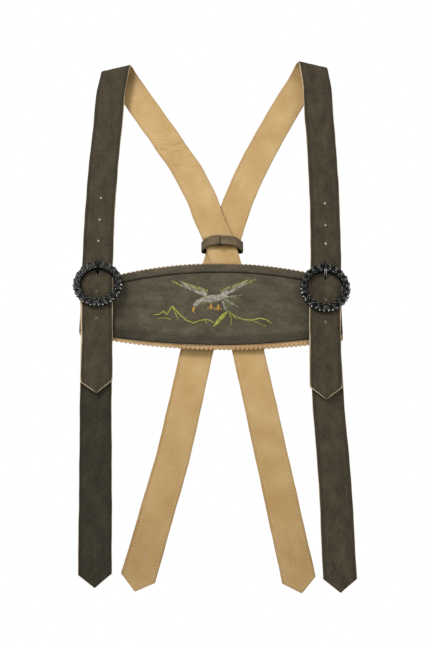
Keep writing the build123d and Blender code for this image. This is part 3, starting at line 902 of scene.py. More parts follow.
def slot_outline(middle, way, length, width):
    """A long slot with round ends, along a direction."""
    way = unit(np.array(way, float))
    square = -right_of(way)
    points = []
    for end in (1, -1):
        centre = np.array(middle) + end * way * (length - width) / 2
        for turn in np.linspace(-math.pi / 2, math.pi / 2, 8):
            points.append(tuple(centre + width / 2 * (end * way * math.cos(turn) + end * square * math.sin(turn))))
    return points


def cut_holes(strap, piece, layer_name, heights):
    """The adjusting holes at these heights."""
    places = [(np.interp(strap.front_way(z), strap.s, strap.line[:, 0]), z) for z in heights]
    cut(piece, [round_outline(x, z, hole_radius[layer_name]) for x, z in places])


def cut_opening(strap, piece, layer_name):
    """Above the bar, the worn opening that the prong comes through."""
    low, high = prong_slot_low[layer_name], prong_slot_high[strap.side]
    middle = (strap.bar[0], strap.bar[2] + prong_rise[strap.side] + (low + high) / 2)
    cut(piece, [slot_outline(middle, (0, 1), high - low, prong_slot_width)], suede_edge)


def cut_slit(piece, mount, way):
    cut(piece, [slot_outline(flat(np.array(mounts[mount]["pos_m"]) / MM), way, slit_length, slit_width)])


def finish_leather(piece, nodes):
    """Bakes a strap's layer into place and hides its plain nodes."""
    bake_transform(piece)
    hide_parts(*nodes)


def bend_zone(name, reach):
    """Two points either side of a flex line, square to it."""
    place, axis = Vector(joints[name]["pos_m"]), Vector(joints[name]["axis"])
    down = axis.cross(Vector((0, 1, 0))).normalized()
    if down.z > 0:
        down = -down
    return place - down * reach * MM, place + down * reach * MM


def strap_pieces(strap):
    side = strap.side
    seam_low = strap.front_way(strap.bar[2] - 20)
    seam_top = strap.fold_s + 0.56 * math.pi * strap.radius
    shoulder = joint_point("shoulder_fold")[2]
    over_shoulder = [Vector((0, 0, shoulder + z)) * MM for z in (9, -9)]
    parts = (
        ("tail", 0, seam_low, ("front_section", side + "_tail"), bend_zone(side + "_tail_flex", 6), ["tail"]),
        ("front", seam_low, seam_top, ("back_section", "front_section"), over_shoulder, ["front"]),
        ("back", seam_top, strap.length, ("back_section", side + "_back_tab"),
         bend_zone(side + "_back_tab_flex", 8), ["shoulder", "back_tab"]),
    )
    for part, start, end, bodies, zone, nodes in parts:
        for layer_name, (face, _, slot, _) in leathers.items():
            piece = layer(f"{side}_{part}_strap_{layer_name}", strap, start, end, layer_name, face)
            if part == "tail":
                cut_holes(strap, piece, layer_name, holes[side][-1:])
            if part == "front":
                cut_holes(strap, piece, layer_name, holes[side][:-1])
                cut_opening(strap, piece, layer_name)
            if part == "back":
                way = lowest(side + "_back_tab_suede") - flat(joint_point(side + "_back_tab_flex"))
                cut_slit(piece, side + "_back_buttonhole", way)
            finish_leather(piece, [f"{side}_{node}_{layer_name}" for node in nodes])
        thread = edge_stitches(f"{side}_{part}_stitching", strap, start, end)
        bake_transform(thread)


def tab_pieces(tab):
    side = tab.side
    lining_start = tab.extra + 13
    for layer_name, (face, _, slot, _) in leathers.items():
        start = 0.0 if layer_name == "suede" else lining_start
        face = tab_suedes[side] if layer_name == "suede" else face
        piece = layer(f"{side}_front_tab_{layer_name}", tab, start, tab.length, layer_name, face)
        cut_slit(piece, side + "_front_buttonhole", tab.down)
        if layer_name == "suede":
            cut(piece, [slot_outline((tab.bar[0], tab.bar[2] - 1.2), (0, 1), 14.0, 5.6)])
        nodes = [f"{side}_tab_{layer_name}", f"{side}_tab_end_{layer_name}"]
        finish_leather(piece, nodes)
    thread = edge_stitches(f"{side}_front_tab_stitching", tab, lining_start + 10, tab.length)
    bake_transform(thread)


# ---------------------------------------------------------------- chest panel


class Panel:
    """The chest panel's face. Places are X, Z and the height above its front."""

    def __init__(self):
        low, high = box("chest_panel_face")
        self.left, self.right = low[0], high[0]
        self.front, self.rear = low[1], high[1]
        self.columns = np.linspace(self.left, self.right, 147)
        sections = [section("chest_panel_face", 0, x)[:, 2] for x in self.columns[1:-1]]
        self.bottoms = self.to_ends([z.min() for z in sections])
        self.tops = self.to_ends([z.max() for z in sections])

    def to_ends(self, heights):
        """One more height at either end, straight on."""
        return np.array([2 * heights[0] - heights[1], *heights, 2 * heights[-1] - heights[-2]])

    def top(self, x):
        return np.interp(x, self.columns, self.tops)

    def bottom(self, x):
        return np.interp(x, self.columns, self.bottoms)

    def swell(self, x, z):
        """Slow unevenness, none near the buckles."""
        calm = smooth_step(np.abs(x - 4), 112, 80)
        return calm * (0.45 * np.sin(x / 29 + z / 40) + 0.25 * np.sin(x / 13 - z / 17 + 1) + 0.15)

    def relief(self, x, z):
        """Puffed hem above the stitching, a groove under the thread, and a pressed line near the bottom."""
        from_top, from_bottom = self.top(x) - z, z - self.bottom(x)
        groove = -0.85 * hump(from_top, topstitch_inset, 0.9)
        hem = 0.5 * np.sin(np.clip(from_top / topstitch_inset, 0, 1) * math.pi)
        pressed = -0.32 * hump(from_bottom, bottom_band, 0.9)
        band = 0.20 * np.sin(np.clip(from_bottom / bottom_band, 0, 1) * math.pi)
        return groove + hem + pressed + band + self.swell(x, z)

    def shade(self, x, z):
        """Painted shade: dark along the thread's groove and at the bottom and top edges, and painted shadow beside
        the buckles; darker in the pressed band near the bottom.
        """
        from_top, from_bottom = self.top(x) - z, z - self.bottom(x)
        # painted shade in the groove under the thread
        line = 0.75 * hump(from_top, topstitch_inset, 1.0)
        band = 0.28 * (1 - smooth_step(from_bottom, bottom_band - 1.2, bottom_band))
        # painted shade along the bottom and top edges
        edge = 0.6 * (1 - smooth_step(from_bottom, 0.2, 1.6)) + 0.25 * (1 - smooth_step(from_top, 0.1, 0.8))
        # painted shadow beside the buckles
        sides = 0.36 * smooth_step(np.abs(x - 4), 78, 112)
        return np.clip(line + band + edge + sides, 0, 0.9)

    def place(self, x, z, height):
        x, z, height = np.broadcast_arrays(np.asarray(x, float), z, height)
        return np.stack([x, self.front - self.relief(x, z) - height, z], axis=-1)


panel = Panel()
top_steps = np.array([0, 0.2, 0.7, 2, 4, 6, 8, 9.2, 9.8, 10.2, 10.5, 10.8, 11.2, 11.8, 13, 15])
bottom_steps = np.array([0, 0.2, 0.7, 2, 4, 6, 8, 9.6, 10.6, 11.2, 11.5, 11.8, 12.4, 13.4, 15])


def rows_across(upper, lower, count):
    """Heights in columns: the upper ones, evenly spaced ones between, and the lower ones."""
    share = np.linspace(0, 1, count)[None, 1:-1]
    return np.concatenate([upper, upper[:, -1:] + (lower[:, :1] - upper[:, -1:]) * share, lower], axis=1)


def finish_panel(piece, node):
    """Attaches a part of the panel to the front section, in place of its plain node."""
    settle(piece, "front_section", node)


def panel_face():
    upper = panel.top(panel.columns[:, None]) - top_steps[None]
    lower = panel.bottom(panel.columns[:, None]) + bottom_steps[None, ::-1]
    z = rows_across(upper, lower, 26)
    x = np.broadcast_to(panel.columns[:, None], z.shape)
    side_rounding = 0.4 * (np.minimum(x - panel.left, panel.right - x) < 0.5)
    rounding = rounded_ends(z.shape[1], 0.5, 0.2, 0.05)
    face = panel.place(x, z, -np.maximum(rounding[None], side_rounding))
    back = np.stack([x, np.full_like(z, panel.rear), z], axis=-1)
    uv = loop_of(np.stack([x * MM, z * MM, panel.shade(x, z)], axis=-1))
    batch = Batch()
    columns = x.shape[1]
    batch.tube(loop_of(face, back), uv, [0] * (columns - 1) + [1] * (columns + 1))
    piece = batch.build("panel_face", [panel_suede, raw_edge])
    finish_panel(piece, "chest_panel_face")


def backing():
    """The backing's pinked edges are rounded teeth, ruffled a little out of flat."""
    low, high = box("chest_panel_backing")
    tooth_pitch, tooth_depth, per_tooth = 5.0, 2.1, 10
    teeth = round((high[0] - low[0]) / tooth_pitch)
    x = np.linspace(low[0] + 0.01, high[0] - 0.01, teeth * per_tooth + 1)
    phase = (x - low[0]) / (high[0] - low[0]) * teeth
    tooth = np.abs(np.sin(math.pi * phase)) ** 0.75
    face_top, face_bottom = panel.top(x), panel.bottom(x)
    top_edge = face_top + 0.5 + 0.7 * tooth_depth * tooth
    bottom_edge = face_bottom - 3.7 - 0.012 * x - 0.9 * tooth_depth * tooth
    edge_rows = np.array([0, 0.3, 0.9, 2.0])
    upper = np.concatenate([top_edge[:, None] - edge_rows, face_top[:, None] - [2.5, 8.0]], axis=1)
    lower = np.concatenate([face_bottom[:, None] + [8.0, 2.5, -1.2],
        bottom_edge[:, None] + edge_rows[::-1]], axis=1)
    z = rows_across(upper, lower, 8)
    wide = np.broadcast_to(x[:, None], z.shape)
    below = face_bottom[:, None] - z
    from_bottom = np.clip(below / 5.5, 0, 1)
    ruffle = from_bottom * (0.5 * np.sin(2 * math.pi * phase)[:, None] + 0.35 * np.sin(x / 17)[:, None])
    ruffle = ruffle - 0.5 * from_bottom
    near_edge = rounded_ends(z.shape[1], 0.35, 0.1)[None]
    face = np.stack([wide, low[1] + ruffle + near_edge, z], axis=-1)
    back = np.stack([wide, high[1] + ruffle - near_edge, z], axis=-1)
    # Painted shadow in the notches between the teeth and just under the face's bottom edge.
    valley = (1 - tooth)[:, None] * smooth_step(below, 2.6, 5.0)
    painted_shadow = np.clip(0.75 * valley + 0.45 * (1 - smooth_step(below, 0.2, 1.6)), 0, 1)
    uv = loop_of(np.stack([wide * MM, z * MM, painted_shadow], axis=-1))
    columns = z.shape[1]
    batch = Batch()
    batch.tube(loop_of(face, back), uv, ([0] * (columns - 1) + [1]) * 2)
    piece = batch.build("panel_backing", [backing_tan, raw_edge])
    finish_panel(piece, "chest_panel_backing")


# ---------------------------------------------------------------- thread on the panel


def strand(batch, points, width, height, look):
    """One flat strand of thread over the panel: (x, z) points, ends sunk into the leather."""
    points = np.array(points, float)
    way = travel(points)
    if way[-1] < 0.3:
        return
    dip = min(0.35, way[-1] / 4)
    line = along(points, way, np.array([0, dip, way[-1] / 2, way[-1] - dip, way[-1]]))
    sideways = right_of(unit(np.gradient(line, axis=0)))
    lift = np.array([-0.9, 0.35, 0.75, 0.35, -0.9]) * height
    profile = [(-1, -0.3), (-0.62, 0.55), (0, 1), (0.62, 0.55), (1, -0.3), (0, -0.8)]
    thin = np.array([0.5, 0.95, 1, 0.95, 0.5])
    rings = []
    for offset, rise in profile:
        side_x, side_z = (line[:, k] + sideways[:, k] * offset * width / 2 * thin for k in (0, 1))
        rings.append(panel.place(side_x, side_z, lift + rise * height))
    batch.tube(np.stack(rings, axis=1), looks=look)


rng = random.Random(11)


def jitter(amount):
    return rng.uniform(-amount, amount)


def feather(batch, root, tip, width, look, count=5, bend=0.0, stitch=5.5):
    """A pointed bundle of strands from root to tip, widest in its middle."""
    root, tip = np.array(root, float), np.array(tip, float)
    way = tip - root
    length = np.linalg.norm(way)
    square = -right_of(way) / length
    pieces = max(1, round(length / stitch))
    for k in range(count):
        side = (k / max(1, count - 1) - 0.5) * width
        reach = 1 - 0.35 * abs(2 * side / max(width, 0.01)) ** 2
        for part in range(pieces):
            shares = np.linspace(part, part + 1.08, 4) / pieces * reach
            shares = np.clip(shares + jitter(0.02), 0, 1)
            bulge = np.sin(np.clip(shares, 0, 1) * math.pi) ** 0.7
            off = side * bulge + bend * np.sin(shares * math.pi)
            strand(batch, root + way * shares[:, None] + square * off[:, None], 0.62, 0.26, look)


def satin(batch, line, widths, look, pitch=0.52, slant=0.35):
    """Strands laid side by side across a line, slanted a little along it."""
    line = np.array(line, float)
    way = travel(line)
    count = max(2, int(way[-1] / pitch))
    for step in range(count + 1):
        s = way[-1] * step / count
        middle, ahead, behind = along(line, way, np.array([s, min(s + 0.6, way[-1]), max(s - 0.6, 0)]))
        forward = unit(ahead - behind)
        square = -right_of(forward)
        half = np.interp(s / way[-1], np.linspace(0, 1, len(widths)), widths) / 2
        lean = forward * half * slant
        wobble = jitter(0.12)
        strand(batch, [middle - square * half - lean, middle + square * (half + wobble) + lean], 0.60,
            0.24, look)


def run_stitch(batch, line, look, width=0.75, length=2.6):
    """A line of end-to-end stitches."""
    line = np.array(line, float)
    way = travel(line)
    count = max(1, round(way[-1] / length))
    for step in range(count):
        ends = np.array([step, step + 0.5, step + 1.04]) * way[-1] / count
        strand(batch, along(line, way, ends), width, 0.24, look)


def wing(batch, shoulder, elbow, tip, feathers, depth):
    """A raised wing: long pale feathers spread along the arm, with lime ones over them to the tip."""
    shoulder, elbow, tip = (np.array(p, float) for p in (shoulder, elbow, tip))
    outward = math.copysign(1, tip[0] - shoulder[0])
    satin(batch, [shoulder, (shoulder + elbow) / 2, elbow], [5.4, 4.6, 2.2], 0)
    for k in range(feathers):
        share = k / (feathers - 1)
        root = shoulder + (elbow - shoulder) * min(1, share * 1.5) + (tip - elbow) * max(0,
            share - 0.66) * 1.2
        lean = math.radians(78 - 38 * share)
        length = depth * (0.75 + 0.75 * share)
        end = root + length * np.array([outward * math.cos(lean), math.sin(lean)])
        feather(batch, root, end, 1.7, 0 if k % 3 else 2, 3, bend=0.5 * outward)
        lift = np.array([-outward * 1.1, 0.8])
        feather(batch, root + (end - root) * 0.35 + lift, end + lift + 0.12 * (end - root), 1.1, 1, 2,
            stitch=3.5)
    for k in range(6):
        share = 0.30 + 0.14 * k
        root = shoulder + (tip - shoulder) * share + np.array([outward, -1.2])
        end = root + np.array([outward * (6.0 + k), 0.6 + 1.0 * k])
        feather(batch, root, end, 1.4, 1 if k > 3 else 0, 2)


def bird():
    """A soaring bird, in our own drawing."""
    batch = Batch()
    wing(batch, (-9, -302), (-23, -298), (-41, -288), 9, 9.0)
    wing(batch, (7, -302), (22, -297), (38, -286), 9, 9.0)
    satin(batch, [(14, -304.5), (9, -305), (2.5, -306)], [2.5, 6.5, 8.0], 0)
    satin(batch, [(1.4, -306.3), (-5, -306.8), (-12, -307.4), (-17, -309.4)], [8.2, 9.0, 7.0, 3.6], 0)
    satin(batch, [(-17, -310), (-20.4, -312.6), (-23.5, -315.8)], [4.2, 6.4, 3.8], 0)
    for k in range(7):
        angle = math.radians(8 - 13 * k)
        root = np.array([12.5 - 0.7 * k, -305.5 - 0.7 * k])
        end = root + (20.0 - 1.0 * abs(k - 2)) * np.array([math.cos(angle), math.sin(angle)])
        feather(batch, root, end, 2.2, (0, 2, 2)[k % 3], 3)
    run_stitch(batch, [(-21, -309), (-16, -306.6), (-11, -303.2)], 1, 0.7)
    run_stitch(batch, [(-15, -313.4), (-11.5, -311.8), (-9, -312.2)], 1, 0.7)
    run_stitch(batch, [(12, -310.4), (5, -311), (-4, -312.2), (-11, -312)], 2, 0.7)
    run_stitch(batch, [(-19.4, -316.8), (-22, -311.6), (-25, -312.2)], 2, 0.6)
    piece = batch.build("embroidered_bird", [white_thread, lime_thread, moss_thread])
    settle(piece, "front_section", "embroidery_bird")


def beak_and_talons():
    batch = Batch()
    satin(batch, [(-23.2, -317.6), (-25.0, -321.0), (-22.8, -324.2)], [3.0, 2.2, 0.7], 0)
    for x, z in ((-4.5, -315.8), (3.5, -317.2)):
        satin(batch, [(x + 0.4, z + 2.8), (x, z - 1.4)], [1.9, 2.2], 0)
        for toe in (-4.2, 0.2, 4.2):
            satin(batch, [(x, z - 0.8), (x + toe, z - 4.8 + 0.4 * abs(toe))], [1.7, 0.8], 0)
    piece = batch.build("embroidered_beak_and_talons", [orange_thread])
    settle(piece, "front_section", "embroidery_accent")


def ridge():
    """An alpine ridge under the bird, in our own drawing."""
    batch = Batch()
    near = [
        (-69, -326.6), (-62, -326), (-57.5, -322.2), (-54, -326.6), (-48, -315.8), (-41.5, -324),
        (-32, -332.8),
        (-24.5, -336.2), (-16, -333), (-8.5, -332), (-1.5, -335.4)]
    far = [(15, -322.4), (23, -328.4), (32, -332), (41, -332.6), (51, -330.4), (58, -332.6), (63, -336.8)]
    for line in (near, far):
        satin(batch, line, [1.0, 1.4, 1.5, 1.4, 1.0], 0, pitch=0.5, slant=1.1)
    satin(batch, [(-2, -340.4), (2.6, -335), (9, -328), (15, -322)], [0.8, 4.4, 4.6, 1.0], 0, slant=0.8)
    for line in (
            [(-64, -331), (-57, -330), (-50, -331.8)], [(-48, -316.6), (-44.3, -324.6), (-41, -332.6)],
            [(-11, -332.6), (-8.8, -337)], [(16, -323.6), (18.4, -331), (17.8, -339)],
            [(41, -332.6), (50, -337), (57, -340.2)], [(20.5, -327.2), (23.5, -331.4)]):
        satin(batch, line, [0.8, 0.9, 0.6], 0, slant=1.2)
    piece = batch.build("embroidered_ridge", [lime_thread])
    settle(piece, "front_section", "embroidery_ridge")


def topstitch():
    batch = Batch()
    for x in np.arange(panel.left + 30, panel.right - 28, stitch_pitch):
        ends = np.array([x, x + 1.8, x + 3.6])
        strand(batch, np.stack([ends, panel.top(ends) - topstitch_inset], axis=1), 1.3, 0.4, 0)
    piece = batch.build("panel_topstitching", [black_thread])
    settle(piece, "front_section", "panel_topstitch")


# ---------------------------------------------------------------- keeper


def keeper():
    """A strap of suede bent round the crossing, its ends butted and sewn at the front."""
    low, high = keeper_box
    thickness, seam_gap, corner, seam_shift, bulge, seam_sink = 1.6, 0.5, 3.0, -2.4, 3.0, 1.4
    middle, centre_z = (low[0] + high[0]) / 2, (low[2] + high[2]) / 2
    half, tall = (high[0] - low[0]) / 2 - thickness / 2, high[2] - low[2]
    front, back = low[1] + thickness / 2, high[1] - thickness / 2
    side_front = front + bulge
    route = [(seam_gap / 2, front - seam_sink)]
    for share in np.linspace(0.15, 0.9, 8):
        route.append((share * (half - 1), front - seam_sink + (bulge + seam_sink) * share ** 2.4))
    route += [(half - 0.4, side_front + 0.4), (half, side_front + 2.0)]
    for t in np.linspace(0, math.pi / 2, 7)[1:-1]:
        route.append((half - corner * (1 - math.cos(t)), back - corner * (1 - math.sin(t))))
    right_half = np.array([*route, (half - corner, back)])
    line = np.concatenate([right_half, [[0, back]], right_half[::-1] * np.array([-1, 1])])
    line[[0, -1], 0] += seam_shift
    way = travel(line)
    s = np.linspace(0, way[-1], 110)
    line = softened(along(line, way, s), 3)
    x, y = line.T
    outward = right_of(unit(np.gradient(line, axis=0)))
    frontness = smooth_step(-y, -side_front - 0.5, -front + 1.0)
    arch = 6.0 * frontness - 2.4 - 0.5 * frontness * smooth_step(x - seam_shift, -3, 3)
    heights = np.array([-0.5, -0.47, -0.38, -0.2, 0, 0.2, 0.38, 0.47, 0.5]) * tall
    depths = thickness / 2 - rounded_ends(9, 0.45, 0.15, 0.02)
    profile = [*zip(heights, depths), *zip(heights[::-1], -depths[::-1])]
    rings, uv = [], []
    for height, depth in profile:
        uneven = 0.25 * np.sin(s / 6.5 + height) + 0.15 * np.sin(s / 2.7)
        rings.append(np.stack([
            middle + x + outward[:, 0] * depth, y + outward[:, 1] * depth,
            centre_z + arch + height * (1.12 - 0.08 * frontness) + uneven * 0.8], axis=1))
        # Painted shade: the inner face against the straps, the lower edge, and the sides that turn back away from
        # the front.
        dark = 0.75 * (depth < 0) + 0.25 * (height < -0.42 * tall) + 0.45 * (1 - frontness)
        uv.append(np.stack([s * MM, np.full_like(s, height) * MM, np.clip(dark + 0 * s, 0, 0.9)], axis=1))
    batch = Batch()
    batch.tube(np.stack(rings, axis=1), np.stack(uv, axis=1), [0] * 8 + [1] * 10)
    piece = batch.build("keeper_band", [keeper_suede, keeper_suede])
    settle(piece, "keeper", "keeper_loop")
    keeper_thread(middle + seam_shift, front - seam_sink - thickness / 2, centre_z + 3.7, tall)


def keeper_thread(middle, front, seam_z, tall):
    """Black cross stitches over the butt joint, ending in a small knot below."""
    batch = Batch()
    shares = np.linspace(0, 1, 7)

    def cord(start, end, bow, radius):
        start, end = np.array(start, float), np.array(end, float)
        line = start + (end - start) * shares[:, None]
        line[:, 1] -= bow * np.sin(shares * math.pi)
        forward = unit(np.gradient(line, axis=0))
        sideways = unit(np.cross(forward, np.array([0.0, 1.0, 0.02])))
        batch.tube(cord_rings(line, sideways, np.cross(sideways, forward), radius))

    for step in (-1.4, -0.5, 0.4, 1.3):
        z = seam_z + step * tall / 4
        cord((middle - 1.0, front + 0.3, z - 0.5), (middle + 1.0, front + 0.3, z + 0.5), 0.5, 0.34)
    cord((middle, front + 0.2, seam_z - tall * 0.46), (middle, front + 0.2, seam_z + tall * 0.44), 0.25, 0.30)
    knot = seam_z - tall * 0.5 - 1.2
    for tilt in (-0.9, 0.9):
        cord((middle - 1.9, front + 0.4, knot - tilt), (middle + 1.9, front + 0.4, knot + tilt), 1.0, 0.62)
    cord((middle + 0.2, front, knot), (middle + 1.5, front - 0.2, knot - 2.2), 0.2, 0.26)
    piece = batch.build("keeper_stitching", [black_thread])
    settle(piece, "keeper", "keeper_seam")


# ---------------------------------------------------------------- buckles

ring_profile = (            # share of the way from the opening to the rim, depth, and how far it is rubbed
    (0.0, -5.5, 0), (-0.03, -6.5, 0.1), (0.0, -7.8, 0.25), (0.06, -8.7, 0.5), (0.16, -8.9, 0.4),
    (0.3, -8.6, 0.1),
    (0.5, -8.7, 0.15), (0.7, -8.6, 0.1), (0.86, -8.6, 0.3), (0.98, -8.0, 0.4), (1.03, -7.0, 0.2),
    (1.0, -5.5, 0))
leaf_profile = ((-1, 0), (-0.72, 0.62), (-0.34, 1.0), (0, 0.68), (0.34, 1.0), (0.72, 0.62), (1, 0))
shank_profile = (           # share of the half width, and of the lift
    (-1, -0.45), (-0.96, 0.45), (-0.78, 0.95), (-0.5, 0.9), (-0.26, 0.35), (0, 0.25), (0.26, 0.35),
    (0.5, 0.9), (0.78, 0.95), (0.96, 0.45), (1, -0.45), (0.7, -0.8), (0, -0.85), (-0.7, -0.8))
leaf_count, knob_count = 20, 18
groove_split = 20.6         # above this the prong is one colour


class Buckle:
    """Places on the buckle are in its own axes: X, depth behind the bar's axis, and Z."""

    def __init__(self, strap):
        self.side, self.bar = strap.side, strap.bar

    def add(self, batch, rings, uv=None, **settings):
        """Rings in the buckle's own axes. A row of uv is (any, how far it is rubbed)."""
        batch.tube(np.array(rings) + self.bar, uv if uv is None else np.array(uv), **settings)

    def ring_point(self, turn, share):
        """A point between the opening's edge and the rim, which are ovals."""
        inner, outer = (
            x * z / math.hypot(z * math.cos(turn), x * math.sin(turn))
            for x, z in (ring_inner[self.side], ring_outer[self.side]))
        from_top = math.acos(max(-1, min(1, math.sin(turn))))
        inner = inner + prong_notch * math.exp(-(from_top / 0.11) ** 2)
        radius = inner + (outer - inner) * share
        return np.array([math.cos(turn), math.sin(turn)]) * radius + ring_shift[self.side]

    def band(self, batch):
        """The cast band under the ornament: domed in front, flat behind."""
        rings, uv = [], []
        for turn in np.linspace(0, 2 * math.pi, 145)[:-1]:
            spots = [(self.ring_point(turn, share), depth) for share, depth, _ in ring_profile]
            rings.append([(spot[0], depth, spot[1]) for spot, depth in spots])
            uv.append([(turn, rubbed) for _, _, rubbed in ring_profile])
        self.add(batch, rings, uv, looped=True)

    def leaf(self, batch, middle, angle, length, width, height, base):
        """A small domed leaf with a groove along its rib."""
        forward = np.array([math.cos(angle), math.sin(angle)])
        square = -right_of(forward)
        rings, uv = [], []
        for t in np.linspace(-1, 1, 9):
            wide = width / 2 * max(0.06, (1 - t * t) ** 0.75) * (1 + 0.25 * t)
            rise = height * max(0.05, 1 - t * t) ** 0.5
            spots = [(c, base - rise * up, up * (0.45 + 0.55 * rise / height)) for c, up in leaf_profile]
            spots += [(c, base + 0.8, 0) for c in (0.7, -0.7)]
            places = [middle + forward * t * length / 2 + square * c * wide for c, _, _ in spots]
            rings.append([(place[0], spot[1], place[1]) for place, spot in zip(places, spots)])
            uv.append([(t, spot[2]) for spot in spots])
        self.add(batch, rings, uv)

    def bead(self, batch, middle, radius, depth, squash=0.8):
        """A cast bead: a ball, a little flattened."""
        rings, uv = [], []
        for tilt in np.linspace(-0.96, 0.96, 7) * math.pi / 2:
            turns, wide = np.arange(8) * math.pi / 4, radius * math.cos(tilt)
            rings.append([(
                middle[0] + wide * math.cos(turn), depth - radius * squash * math.sin(tilt),
                middle[1] + wide * math.sin(turn)) for turn in turns])
            uv.append([(turn, max(0, math.sin(tilt)) ** 0.7) for turn in turns])
        self.add(batch, rings, uv)

    def ornament(self, batch):
        """A wreath: leaves that run down both sides from the top, with knobs along the lower rim."""
        draw = random.Random(5 if self.side == "left" else 8)
        for k in range(leaf_count):
            turn = math.pi / 2 + 2 * math.pi * (k + 0.5) / leaf_count
            way = 1 if k < leaf_count / 2 else -1
            run = turn + way * math.pi / 2
            inner, middle, outer = (
                self.ring_point(turn + way * on, share) for on,
                    share in ((0, 0.20), (0.08, 0.54), (0.04, 0.88)))
            self.leaf(batch, inner, run + way * (0.30 + draw.uniform(-0.15, 0.15)), 6.8, 2.6, 1.6, -8.3)
            self.leaf(batch, middle, run - way * (0.66 + draw.uniform(-0.15, 0.15)), 7.2, 3.4, 2.1, -8.2)
            self.leaf(batch, outer, run + way * (0.55 + draw.uniform(-0.2, 0.2)), 6.9, 3.5, 1.8, -7.6)
            self.bead(batch, self.ring_point(turn + way * 0.15, 0.37), 0.62, -8.9)
            self.bead(batch, self.ring_point(turn + way * 0.17, 0.73), 0.68, -8.6)
        for turn in np.linspace(1.02, 1.98, knob_count) * math.pi:
            self.bead(batch, self.ring_point(turn, 0.97), 1.55 + draw.uniform(-0.15, 0.15), -7.4, 0.9)

    def lugs(self, batch):
        """Cheeks behind the band that hold the bar."""
        for hand in (-1, 1):
            rings = [[
                (hand * 21.7 + 2.5 * grow * math.cos(turn), depth, 2.9 * grow * math.sin(turn))
                for turn in np.arange(12) * math.pi / 6]
                for depth, grow in ((-6.0, 1.0), (-2.6, 1.0), (0.6, 1.0), (1.9, 0.6))]
            self.add(batch, rings, np.full((4, 12, 2), 0.2))

    def build_frame(self):
        batch = Batch()
        self.band(batch)
        self.ornament(batch)
        self.lugs(batch)
        piece = batch.build(self.side + "_buckle_ring", [black_metal], 60)
        settle(piece, self.side + "_buckle", self.side + "_buckle_frame")

    def build_prong(self):
        """An eye that turns on the bar, and a flat shank with a groove, bent over to the ring."""
        rise, reach = prong_rise[self.side], prong_reach[self.side]
        corners = np.array([
            (-0.3, 2.2), (0.4, 5.0), (0.6, rise - 6.0), (0.6, rise - 3.4), (-2.6, rise), (-6.4, rise + 2.2),
            (-9.0, rise + 4.0), (-9.8, rise + 7.0), (-10.0, reach - 3.5), (-9.3, reach)])
        way = travel(corners)
        s = np.linspace(0, way[-1], 60)
        line = softened(along(corners, way, s), 4)
        y, z = line.T
        forward = unit(np.gradient(line, axis=0))
        share = s / s[-1]
        knob = hump(share, 0.96, 0.035)
        wide = 1.5 * (1 - 0.12 * share) * (1 + 0.25 * knob)
        rings = []
        for across, out in shank_profile:
            lift = out * 0.8 * (1 + 0.3 * knob)
            rings.append(np.stack([wide * across, y - forward[:, 1] * lift, z + forward[:, 0] * lift],
                axis=1))
        rings = np.stack(rings, axis=1)
        uv = np.broadcast_to(np.stack([share, share], axis=1)[:, None], (*rings.shape[:2], 2))
        split = int((z <= groove_split).sum())
        # On the right prong the groove between the bright steel edges is painted dark: painted shade between the
        # edge highlights.
        shank_look = 1 if self.side == "left" else 0
        pairs = zip(shank_profile, shank_profile[1:] + shank_profile[:1])
        looks = [shank_look if abs(one[0]) + abs(two[0]) > 0.8 else 1 for one, two in pairs]
        batch = Batch()
        self.add(batch, rings[:split + 1], uv[:split + 1], looks=looks)
        self.add(batch, rings[split:], uv[split:], looks=1)
        eye = []
        for turn in np.linspace(0, 2 * math.pi, 29)[:-1]:
            around = [(part, 2.15 + 0.55 * math.cos(part)) for part in np.arange(10) * math.pi / 5]
            eye.append([(1.2 * math.sin(part), r * math.cos(turn), r * math.sin(turn)) for part, r in around])
        self.add(batch, eye, looks=shank_look, looped=True)
        piece = batch.build(self.side + "_prong", [bright_steel, dark_prong], 60)
        settle(piece, self.side + "_prong", self.side + "_buckle_prong")


def dress_bar(side):
    """The CAD bar stays, and gets its material."""
    node = frame["nodes"][side + "_buckle_bar"]
    node.data.materials.clear()
    node.data.materials.append(steel)


# ---------------------------------------------------------------- camera, lights and floor

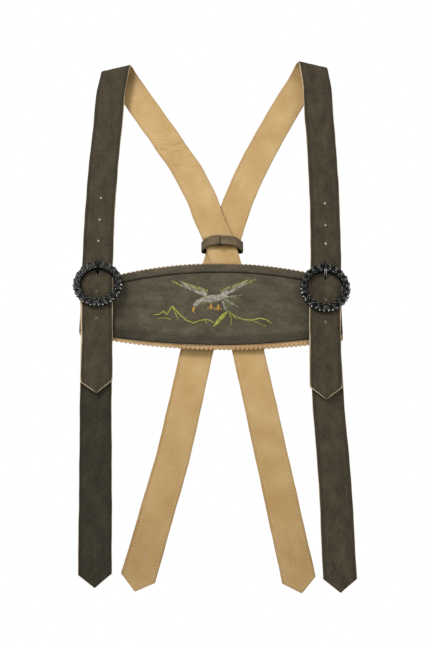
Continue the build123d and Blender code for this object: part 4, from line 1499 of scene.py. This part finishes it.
camera_lens, camera_distance, camera_tilt = 49.8, 1.0, -20
camera_aim = 0.458          # share of the height, from the bottom
light_aim = Vector((0, 0, -0.3))
lights = (                  # name, place, power in watts and size
    ("key", (-0.75, -1.15, 0.55), 24, 0.45),
    ("fill", (1.1, -1.1, -0.1), 5, 1.0),
)
floor_reach, floor_drop = 40.0, 0.3


def add_turned(name, data, place, aim):
    """A camera or a light that looks at a point."""
    made = bpy.data.objects.new(name, data)
    made.location = place
    made.rotation_euler = (aim - made.location).to_track_quat("-Z", "Y").to_euler()
    bpy.context.scene.collection.objects.link(made)
    return made


def add_camera():
    """Low in front of the suspenders, looking up."""
    low, high = cad_box
    aim = Vector((0, 0, low.z + camera_aim * (high.z - low.z)))
    data = bpy.data.cameras.new("camera")
    data.sensor_width, data.lens = 36, camera_lens
    tilt = math.radians(camera_tilt)
    place = aim + camera_distance * Vector((0, -math.cos(tilt), math.sin(tilt)))
    bpy.context.scene.camera = add_turned("camera", data, place, aim)


def add_surroundings():
    world = bpy.data.worlds.new("white")
    world.use_nodes = True
    world.node_tree.nodes["Background"].inputs["Color"].default_value = (1, 1, 1, 1)
    world.node_tree.nodes["Background"].inputs["Strength"].default_value = 1.0
    bpy.context.scene.world = world
    bpy.context.scene.view_settings.view_transform = "Standard"
    for name, place, power, size in lights:
        data = bpy.data.lights.new(name, "AREA")
        data.energy, data.size = power, size
        add_turned(name, data, Vector(place), light_aim)
    mesh = bpy.data.meshes.new("floor")
    reach, z = floor_reach, cad_box[0].z - floor_drop
    corners = [(-reach, -reach, z), (reach, -reach, z), (reach, reach, z), (-reach, reach, z)]
    mesh.from_pydata(corners, [], [(0, 1, 2, 3)])
    mesh.materials.append(floor_look())
    floor = bpy.data.objects.new("floor", mesh)
    bpy.context.scene.collection.objects.link(floor)


# ---------------------------------------------------------------- the whole

add_camera()
add_surroundings()
for name in ("left", "right"):
    strap = Strap(name)
    strap_pieces(strap)
    tab_pieces(Tab(strap))
    buckle = Buckle(strap)
    buckle.build_frame()
    buckle.build_prong()
panel_face()
backing()
topstitch()
bird()
beak_and_talons()
ridge()
keeper()
for name in ("left", "right"):
    dress_bar(name)
